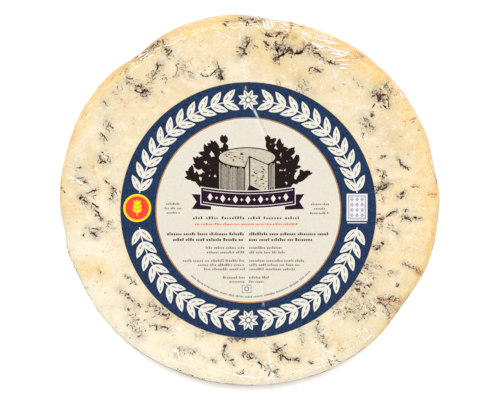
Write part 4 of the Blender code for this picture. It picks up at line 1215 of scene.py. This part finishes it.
class Print:
    """Flat shapes laid one over another on the label, in millimetres from its middle. The last one shows."""

    def __init__(self):
        self.shapes = []

    def add(self, ink, points):
        """Lays down one shape, its corners turned to run anticlockwise."""
        corners = [(float(x), float(y)) for x, y in points]
        after = corners[1:] + corners[:1]
        area = sum(x * next_y - next_x * y for (x, y), (next_x, next_y) in zip(corners, after))
        self.shapes.append((ink, corners if area > 0.0 else corners[::-1]))

    def oval(self, ink, middle, half_width, half_height, sides=48):
        bearings = [TURN * i / sides for i in range(sides)]
        self.add(ink, [
            (middle[0] + half_width * math.cos(b), middle[1] + half_height * math.sin(b)) for b in bearings
        ])

    def disc(self, ink, radius, middle=(0.0, 0.0), sides=48):
        self.oval(ink, middle, radius, radius, sides)

    def bar(self, ink, left, low, right, high):
        self.add(ink, [(left, low), (right, low), (right, high), (left, high)])

    def framed(self, inks, box, widths):
        """Bars one inside another, each inset from the box by its width."""
        left, low, right, high = box
        for ink, width in zip(inks, widths):
            self.bar(ink, left + width, low + width, right - width, high - width)

    def lozenge(self, ink, x, y, half_width, half_height):
        self.add(ink, [
            (x - half_width, y), (x, y - half_height), (x + half_width, y), (x, y + half_height),
        ])

    def line(self, ink, start, end, width):
        across = Vector((start[1] - end[1], end[0] - start[0])).normalized() * width / 2
        self.add(ink, [
            (start[0] + across.x, start[1] + across.y), (start[0] - across.x, start[1] - across.y),
            (end[0] - across.x, end[1] - across.y), (end[0] + across.x, end[1] + across.y),
        ])

    def arc(self, ink, radius, width, start, end):
        """Part of a ring, from one bearing to another in degrees."""
        steps = max(1, int(abs(end - start) / 2.5))
        bearings = [math.radians(start + (end - start) * i / steps) for i in range(steps + 1)]
        rims = (radius + width / 2, radius - width / 2)
        outer, inner = ([(r * math.cos(b), r * math.sin(b)) for b in bearings] for r in rims)
        self.add(ink, outer + inner[::-1])

    def leaf(self, ink, foot, bearing, length, width, rib=None):
        """A pointed leaf from its foot, with a rib in another ink where one is named."""
        along = Vector((math.cos(bearing), math.sin(bearing)))
        across = Vector((-along.y, along.x))
        shares = [i / 7 for i in range(8)]
        sides = []
        for side in (1.0, -1.0):
            edge = [(s, side * width / 2 * math.sin(math.pi * s ** 0.85) ** 0.8) for s in shares]
            sides.append([Vector(foot) + along * length * s + across * off for s, off in edge])
        self.add(ink, sides[0] + sides[1][-2:0:-1])
        if rib:
            self.line(rib, Vector(foot) + along * length * 0.2, Vector(foot) + along * length * 0.8, 0.36)


def on_label(px, py):
    """A place on the label in millimetres from its middle, from a pixel of the photograph."""
    x, y = spot(px, py)
    return (x - LABEL_MIDDLE.x) / MM, (y - LABEL_MIDDLE.y) / MM


# The label's parts in the photograph's pixels: middles, and boxes as left, top, right and bottom
SEAL_MIDDLE = (137.2, 208.0)
TAB_BOX = (346.6, 193.8, 367.5, 220.8)
TAB_LINE_Y = 222.7
PICTURE_FOOT = (247.0, 190.0)
RIBBON_MIDDLE = (248.0, 197.5)
STAMP_BOX = (242.0, 284.8, 251.4, 293.0)
# Rows of blocks: ink, height in millimetres, spacing, then left end, right end and middle height in pixels
TEXT_ROWS = (
    ("text", 1.5, 1.9, 193, 300, 217.8), ("orange_text", 1.25, 0.9, 195, 299, 224),
    ("text", 1.6, 1, 167, 245, 233.8), ("text", 1.6, 1, 249, 329, 233.8),
    ("text", 1.6, 1, 173, 245, 239.5), ("text", 1.6, 1, 249, 316, 239.5),
    ("grey_text", 1.3, 1, 205.6, 245, 247.6), ("grey_text", 1.3, 1, 249, 283.7, 247.6),
    ("grey_text", 1.3, 1, 206.8, 245, 252.2), ("grey_text", 1.3, 1, 249, 286.8, 252.2),
    ("grey_text", 1.3, 1, 182.7, 245, 260.6), ("grey_text", 1.3, 1, 249, 304, 260.6),
    ("grey_text", 1.3, 1, 198, 245, 264.8), ("grey_text", 1.3, 1, 249, 302, 264.8),
    ("grey_text", 1.3, 1, 204, 245, 269), ("grey_text", 1.3, 1, 249, 296, 269),
    ("grey_text", 1.3, 1, 223, 245, 277.4), ("grey_text", 1.3, 1, 249, 270.6, 277.4),
    ("grey_text", 1.3, 1, 229.6, 245, 281.5), ("grey_text", 1.3, 1, 249, 263.8, 281.5),
    ("grey_text", 1.25, 1, 166, 181, 203.7), ("grey_text", 1.25, 1, 164.5, 182.5, 208.2),
    ("grey_text", 1.25, 1, 166.5, 180.5, 212.5), ("grey_text", 1.25, 1, 311, 330, 204),
    ("grey_text", 1.25, 1, 314, 327, 208.5), ("grey_text", 1.25, 1, 310, 329, 213),
)


def label_box(box):
    """A box of the photograph's pixels on the label, as left, low, right and high in millimetres."""
    left, high = on_label(*box[:2])
    right, low = on_label(*box[2:])
    return left, low, right, high


def band_shapes(sheet):
    """The blue band with a cream garland above and another below, a rosette where their tips meet."""
    garland_radius = 57.6
    leaf_pairs = 11

    def on_garland(degrees, radius=garland_radius):
        return radius * math.cos(math.radians(degrees)), radius * math.sin(math.radians(degrees))

    sheet.disc("tan", LABEL_RADIUS / MM, sides=360)
    sheet.disc("blue", 66.9, sides=360)
    for middle in (90.0, 270.0):
        for side in (-1.0, 1.0):
            start = middle + side * 81.0
            end = middle + side * 7.5
            sheet.arc("garland", garland_radius, 0.6, start, end)
            for i in range(leaf_pairs):
                share = (i + 0.15) / leaf_pairs
                degrees = start + (end - start) * share
                forward = math.radians(degrees) - side * math.pi / 2
                for lean in (-0.62, 0.62):
                    sheet.leaf("garland", on_garland(degrees), forward + lean, 9.4, 3.7, rib="blue")
                berry = start + (end - start) * (share + 0.55 / leaf_pairs)
                for radius in (54.6, 60.6):
                    sheet.disc("garland", 0.75, on_garland(berry, radius), 12)
        centre = on_garland(middle)
        for i in range(8):
            sheet.leaf("garland", centre, math.radians(45.0 * i + 22.5), 5.6, 2.6, rib="blue")
        sheet.disc("blue", 1.7, centre, 20)
        sheet.disc("garland", 1.2, centre, 16)


def seal_shapes(sheet):
    """A small yellow disc with a sprig at the left, and a white tab with lozenges at the right."""
    x, y = on_label(*SEAL_MIDDLE)
    sheet.disc("yellow", 7.3, (x, y), 60)
    sheet.disc("red", 6.2, (x, y), 48)
    sheet.line("yellow", (x, y - 4.0), (x, y + 2.0), 0.6)
    for height, lean in ((-2.4, 0.9), (-0.6, 0.8), (1.2, 0.6)):
        for side in (-1.0, 1.0):
            sheet.leaf("yellow", (x, y + height), math.pi / 2 + side * lean, 3.3, 1.5)
    sheet.leaf("yellow", (x, y + 1.6), math.pi / 2, 2.8, 1.4)
    left, low, right, high = label_box(TAB_BOX)
    inset = 1.5
    sheet.framed(("white", "lilac", "white"), (left, low, right, high), (0.0, 0.8, inset))
    columns, rows = 3, 4
    for i in range(columns):
        for j in range(rows):
            x = left + inset + (i + 0.5) * (right - left - 2 * inset) / columns
            y = low + inset + (j + 0.5) * (high - low - 2 * inset) / rows
            sheet.lozenge("lilac", x, y, 1.0, 1.25)
    _, line_y = on_label(0.0, TAB_LINE_Y)
    sheet.bar("white", left + 0.4, line_y - 0.25, right - 0.4, line_y + 0.25)


def picture_shapes(sheet):
    """A cut wheel of cheese between two dark leafy branches."""
    draw = random.Random(SEEDS["picture"])
    centre_x, base_y = on_label(*PICTURE_FOOT)
    half_width, tall = 15.5, 17.0
    for side in (-1.0, 1.0):
        for stem in range(5):
            reach = 11.0 + 4.2 * stem
            height = 32.0 - 4.6 * stem
            points = []
            for step in range(9):
                share = step / 8.0
                x = centre_x + side * (reach * (0.62 + 0.5 * share))
                points.append((x, base_y - 2.0 + height * share ** 0.8 - 1.2 * abs(2 - stem)))
            for start, end in zip(points, points[1:]):
                sheet.line("dark", start, end, 0.5)
                for _ in range(4):
                    bearing = math.pi / 2 - side * draw.uniform(-0.6, 1.6)
                    sheet.leaf("dark", start, bearing, draw.uniform(3.4, 6.2), draw.uniform(1.9, 3.0))
    top_y = base_y + tall
    sheet.bar("dark", centre_x - half_width, base_y - 1.0, centre_x + half_width, top_y)
    sheet.oval("dark", (centre_x, base_y), half_width, 3.8)
    sheet.oval("dark", (centre_x, top_y), half_width, 5.4)
    sheet.oval("pale", (centre_x, top_y), 14.7, 4.8)
    hatches = 46
    for i in range(hatches):
        x = centre_x - 14.6 + 29.2 * (i + 0.5) / hatches
        drop = 3.4 * math.sqrt(max(0.0, 1.0 - ((x - centre_x) / half_width) ** 2))
        low = base_y - drop + draw.uniform(0.6, 3.0)
        high = top_y - 1.35 * drop - draw.uniform(0.4, 2.2)
        sheet.line("pale", (x, low), (x + draw.uniform(-0.1, 0.1), high), draw.uniform(0.2, 0.42))
    cut_left = (centre_x - 1.5, top_y - 5.4)
    cut_right = (centre_x + 11.6, top_y - 3.8)
    heart = (centre_x + 1.0, top_y + 1.0)
    sheet.add("dark", [
        heart, cut_left, (cut_left[0], base_y - 3.8), (cut_right[0], base_y - 2.6), cut_right,
    ])
    sheet.add("pale", [
        (heart[0] - 0.1, heart[1] - 0.9), (cut_left[0] + 0.6, cut_left[1] - 0.2),
        (cut_left[0] + 0.6, base_y - 3.2), (heart[0] + 0.1, base_y + 2.6),
    ])
    sheet.add("pale", [
        (heart[0] + 0.7, heart[1] - 1.1), (heart[0] + 0.7, base_y + 2.6),
        (cut_right[0] - 0.6, base_y - 1.9), (cut_right[0] - 0.6, cut_right[1] - 0.2),
    ])
    for _ in range(30):
        x = heart[0] + draw.uniform(1.2, 10.0)
        y = base_y + draw.uniform(0.0, 12.5)
        bearing = draw.uniform(-0.5, 1.0)
        length = draw.uniform(0.5, 1.6)
        end = (x + length * math.cos(bearing), y + length * math.sin(bearing))
        sheet.line("dark", (x, y), end, draw.uniform(0.25, 0.55))
    for _ in range(20):
        x = centre_x + draw.uniform(-12.0, -1.5)
        y = top_y + draw.uniform(-2.4, 2.6)
        end = (x + draw.uniform(0.6, 1.8), y + draw.uniform(-0.3, 0.3))
        sheet.line("dark", (x, y), end, draw.uniform(0.25, 0.5))


def ribbon_shapes(sheet):
    """A purple ribbon with swallow tails, edged in cream and set with lozenges."""
    centre_x, middle_y = on_label(*RIBBON_MIDDLE)
    half, tall, sag = 24.5, 8.6, 2.2
    tail = [(19.5, -6.4), (29.5, -6.0), (26.9, -2.2), (29.5, 1.8), (19.5, 1.4)]
    fold = [(19.3, -6.6), (24.5, -3.3), (24.5, -2.0), (19.3, -4.0)]

    def place(u, v):
        return centre_x + u, middle_y + v - sag * (1.0 - (u / half) ** 2) + 1.0

    for side in (-1.0, 1.0):
        for ink, shape in (("purple", tail), ("dark", fold)):
            sheet.add(ink, [(centre_x + side * u, middle_y + v) for u, v in shape])
    steps = 24
    across = [-half + 2 * half * i / steps for i in range(steps + 1)]

    def strip(ink, low, high, inset):
        inner = [u * (half - inset) / half for u in across]
        sheet.add(ink, [place(u, low) for u in inner] + [place(u, high) for u in inner[::-1]])

    strip("white", -tall / 2 - 0.45, tall / 2 + 0.45, -0.4)
    strip("purple", -tall / 2, tall / 2, 0.0)
    strip("garland", tall / 2 - 1.3, tall / 2 - 0.95, 1.0)
    strip("garland", -tall / 2 + 0.95, -tall / 2 + 1.3, 1.0)
    for i in range(13):
        half_size = (1.35, 2.0) if i % 2 == 0 else (0.7, 0.8)
        sheet.lozenge("garland", *place(-19.8 + 3.3 * i, 0.0), *half_size)


def text_row(sheet, draw, ink, tall, spread, left, right, middle):
    """Small blocks grouped like the words of a printed line, between two pixels of the photograph."""
    x, y = on_label(left, middle)
    end, _ = on_label(right, middle)
    low = y - tall / 2
    while x < end - 0.8 * tall:
        for _ in range(draw.randint(3, 9)):
            width = tall * draw.uniform(0.4, 0.62)
            high = low + tall * draw.choice((0.66, 0.66, 0.66, 1.0))
            if x + width > end:
                break
            sheet.bar(ink, x, low, x + width, high)
            x += width + 0.2 * tall * spread
        x += 0.5 * tall * spread


def text_shapes(sheet):
    """Rows of small blocks, a row of them bent along the lower edge of the cream disc, and a little stamp."""
    draw = random.Random(SEEDS["text"])
    for row in TEXT_ROWS:
        text_row(sheet, draw, *row)
    bearing = -131.0
    while bearing < -49.0:
        for _ in range(draw.randint(3, 9)):
            width = draw.uniform(0.55, 0.8)
            sheet.arc("grey_text", 45.4, draw.choice((0.75, 0.75, 1.1)), bearing, bearing + width)
            bearing += width + 0.3
        bearing += 0.7
    left, low, right, high = label_box(STAMP_BOX)
    sheet.framed(("grey_text", "white"), (left, low, right, high), (0.0, 0.35))
    centre = ((left + right) / 2, (low + high) / 2)
    sheet.disc("grey_text", 1.35, centre, 20)
    sheet.disc("white", 0.8, centre, 16)


def label_shapes():
    """The whole print, from the band at the bottom to the small blocks on top."""
    sheet = Print()
    band_shapes(sheet)
    seal_shapes(sheet)
    sheet.disc("orange_ring", 48.6, sides=300)
    sheet.disc("white", 47.9, sides=300)
    sheet.disc("cream", 47.6, sides=300)
    picture_shapes(sheet)
    ribbon_shapes(sheet)
    text_shapes(sheet)
    return sheet.shapes


# Each ink as the photograph shows it, and how mottled it is
INKS = {
    "cream": ((231, 225, 210), 0.04), "blue": ((34, 55, 88), 0.45), "garland": ((236, 232, 219), 0.07),
    "orange_ring": ((194, 138, 88), 0.15), "white": ((240, 238, 230), 0.04), "dark": ((32, 21, 16), 0.25),
    "pale": ((208, 198, 178), 0.15), "purple": ((42, 14, 40), 0.3), "yellow": ((255, 228, 20), 0.06),
    "red": ((244, 74, 52), 0.1), "lilac": ((176, 176, 206), 0.1), "text": ((84, 76, 72), 0.4),
    "tan": ((236, 206, 164), 0.12), "orange_text": ((232, 128, 80), 0.25),
    "grey_text": ((140, 134, 126), 0.35),
}
# The pale of the fold's crest: bare paper and painted highlight
CREST_WHITE = (247, 244, 236)


def ink_material(name):
    """Matt printed paper in one ink, mottled as a print under film is, with painted shade and light on the
    fold's two flanks and paler along its crest, as worn ink and a painted highlight.
    """
    ink, mottle = INKS[name]
    n = Nodes("ink_" + name)
    colour = n.shade(seen(*ink), n.patchy((1.15, 3.0, 0.65), (0.3, 0.7), (1.0 - mottle, 1.0 + mottle)))
    # Painted shade and light on the fold's flanks
    colour = n.shade(colour, n.maths("MULTIPLY_ADD", n.attribute("fold_light_and_shade"), 0.09, 1.0))
    # Paler along the fold's crest: worn ink and painted highlight
    colour = n.lay(colour, CREST_WHITE, n.times(n.attribute("crest_wear_and_highlight"), 0.85))
    n.bump(n.noise(0.9, 3.0, 0.6), 0.03, n.surface(colour, 0.6, 0.1))
    return n.material


PAPER_UNDERSIDE = 0.10 * MM
PAPER_TOP = 0.32 * MM


def fold_at(places):
    """How far each place is from the label's fold, the same with a minus on its left, and its sharpness."""
    best = np.full(len(places), 1e9)
    side = np.zeros(len(places))
    sharp = np.zeros(len(places))
    for (*a, a_sharp), (*b, b_sharp) in zip(FOLD, FOLD[1:]):
        share, gap, along = nearest(places, on_label(*a), on_label(*b))
        away = np.linalg.norm(gap, axis=1)
        closer = away < best
        best = np.where(closer, away, best)
        cross = gap[:, 0] * along[1] - gap[:, 1] * along[0]
        side = np.where(closer, np.sign(cross) * away, side)
        sharp = np.where(closer, a_sharp + share * (b_sharp - a_sharp), sharp)
    return best, side, sharp


def paper_points(radius):
    """Points for the paper to bend at: a net all over it, and close rows along the fold."""
    spacing, row_step, edge = 1.6, 0.5, 0.8
    steps = int(radius / spacing)
    points = []
    for i in range(-steps, steps + 1):
        for j in range(-steps, steps + 1):
            points.append(Vector((i * spacing + 0.013, (j + 0.5 * (i % 2)) * spacing + 0.017)))
    for (*a, _), (*b, _) in zip(FOLD, FOLD[1:]):
        start, end = Vector(on_label(*a)), Vector(on_label(*b))
        along = (end - start).normalized()
        across = Vector((-along.y, along.x))
        for i in range(int((end - start).length / row_step)):
            for offset in (-1.8, -1.2, -0.7, -0.3, 0.0, 0.3, 0.7, 1.2, 1.8):
                points.append(start + along * row_step * i + across * offset)
    return [point for point in points if point.length < radius - edge]


def make_label():
    """The round paper label with its print, creased where it crosses the film's seam."""
    shapes = label_shapes()
    corners, outlines = [], []
    for _, points in shapes:
        outlines.append(list(range(len(corners), len(corners) + len(points))))
        corners += [Vector(point) for point in points]
    radius = LABEL_RADIUS / MM
    corners += paper_points(radius)
    flat, _, triangles, _, _, owners = delaunay_2d_cdt(corners, [], outlines, 1, 1e-4)
    places = np.array([point[:] for point in flat])
    from_middle = np.hypot(places[:, 0], places[:, 1])
    solid = np.concatenate([places, np.zeros((len(places), 1))], axis=1) * MM
    away, side, sharp = fold_at(places)
    ridge = 0.30 * bell(away, 0.0, 0.9) + 0.10 * smooth_step(side, -2.5, 2.5) - 0.08 * bell(side, -1.6, 1.0)
    height = sharp * ridge
    height += 0.05 * rumple(solid, 11 * MM, 2.0) + 0.03
    edge_lift = 0.5 + 0.5 * rumple(solid, 16 * MM, 5.0)
    height += 0.12 * smooth_step(from_middle / radius, 0.93, 1.0) * edge_lift
    top = [
        (LABEL_MIDDLE.x + x * MM, LABEL_MIDDLE.y + y * MM, LABEL_FOOT + PAPER_TOP + h * MM)
        for (x, y), h in zip(places, height)
    ]
    border = [i for i, distance in enumerate(from_middle) if abs(distance - radius) < 0.02]
    border.sort(key=lambda i: math.atan2(places[i][1], places[i][0]))
    under = [(top[i][0], top[i][1], LABEL_FOOT + PAPER_UNDERSIDE) for i in border]
    first_under = len(top)
    middle = first_under + len(under)
    vertices = top + under + [(LABEL_MIDDLE.x, LABEL_MIDDLE.y, LABEL_FOOT + PAPER_UNDERSIDE)]
    names = list(INKS)
    faces = [tuple(triangle) for triangle in triangles]
    inks = [names.index(shapes[max(owner)][0]) for owner in owners]
    for i in range(len(border)):
        after = (i + 1) % len(border)
        faces.append((border[i], first_under + i, first_under + after, border[after]))
        faces.append((first_under + after, first_under + i, middle))
        inks += [names.index("cream")] * 2
    label = new_piece("paper_label", vertices, faces)
    for name in names:
        label.data.materials.append(ink_material(name))
    label.data.polygons.foreach_set("material_index", inks)
    label.data.shade_smooth()
    # Paler along the fold's crest, mostly on the blue band: worn ink and a painted highlight on the ridge
    crest_patches = smooth_step(rumple(solid, 2.4 * MM, 17.0), -0.1, 0.35)
    on_band = smooth_step(from_middle, 47.0, 50.0)
    crest_wear_and_highlight = sharp * bell(away, 0.0, 0.45) * crest_patches * (0.15 + 1.1 * on_band)
    # Painted shade on the fold's left flank and painted light on its right
    fold_light_and_shade = sharp * (bell(side, 0.9, 0.9) - 1.6 * bell(side, -0.5, 0.6))
    unprinted = np.zeros(len(vertices) - len(places))
    keep(label.data, "crest_wear_and_highlight", np.concatenate([crest_wear_and_highlight, unprinted]))
    keep(label.data, "fold_light_and_shade", np.concatenate([fold_light_and_shade, unprinted]))
    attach(label, "root")
    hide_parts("label")


def make_stage():
    """A wide pale floor."""
    bpy.ops.mesh.primitive_plane_add(size=FLOOR_SIZE, location=(0.0, 0.0, 0.0))
    floor = bpy.context.object
    floor.name = "floor"
    n = Nodes("floor")
    n.surface((0.97, 0.97, 0.97, 1.0), 0.9, 0.0)
    floor.data.materials.append(n.material)


def make_camera():
    """Straight above the face, with the top of the picture at +Y."""
    data = bpy.data.cameras.new("camera")
    data.sensor_width = SENSOR
    data.lens = SENSOR * CAMERA_HEIGHT / (PHOTO_WIDTH * PIXEL)
    camera = bpy.data.objects.new("camera", data)
    camera.location = (*spot(PHOTO_WIDTH / 2, PHOTO_HEIGHT / 2), FACE + CAMERA_HEIGHT)
    bpy.context.scene.collection.objects.link(camera)
    bpy.context.scene.camera = camera


def gloss_box(name, place, size, watts):
    """A long light box that shows only in the film's gloss."""
    data = bpy.data.lights.new(name, "AREA")
    data.shape = "RECTANGLE"
    data.size, data.size_y = size
    data.energy = watts
    light = bpy.data.objects.new(name, data)
    light.location = place
    light.rotation_euler = (-Vector(place)).to_track_quat("-Z", "Y").to_euler()
    light.visible_diffuse = False
    bpy.context.scene.collection.objects.link(light)


def make_lights():
    """Even light from all round, a soft sun from above, and a long box on each side for the film's gloss."""
    scene = bpy.context.scene
    world = bpy.data.worlds.new("studio")
    world.use_nodes = True
    background = world.node_tree.nodes["Background"]
    background.inputs["Color"].default_value = (1.0, 1.0, 1.0, 1.0)
    background.inputs["Strength"].default_value = ROUND_LIGHT
    scene.world = world
    scene.view_settings.view_transform = "Standard"
    data = bpy.data.lights.new("sun", "SUN")
    data.energy = SUN_LIGHT
    data.angle = SUN_WIDTH
    sun = bpy.data.objects.new("sun", data)
    sun.rotation_euler = (SUN_TILT, 0.0, 0.0)
    sun.visible_glossy = False
    scene.collection.objects.link(sun)
    gloss_box("upper_box", (0.0, 0.85, 0.95), (1.2, 0.12), 6.0)
    gloss_box("lower_box", (0.0, -0.85, 0.95), (1.2, 0.12), 3.5)


make_mould(make_cheese())
make_crease_glints(make_film())
make_label()
make_camera()
make_stage()
make_lights()
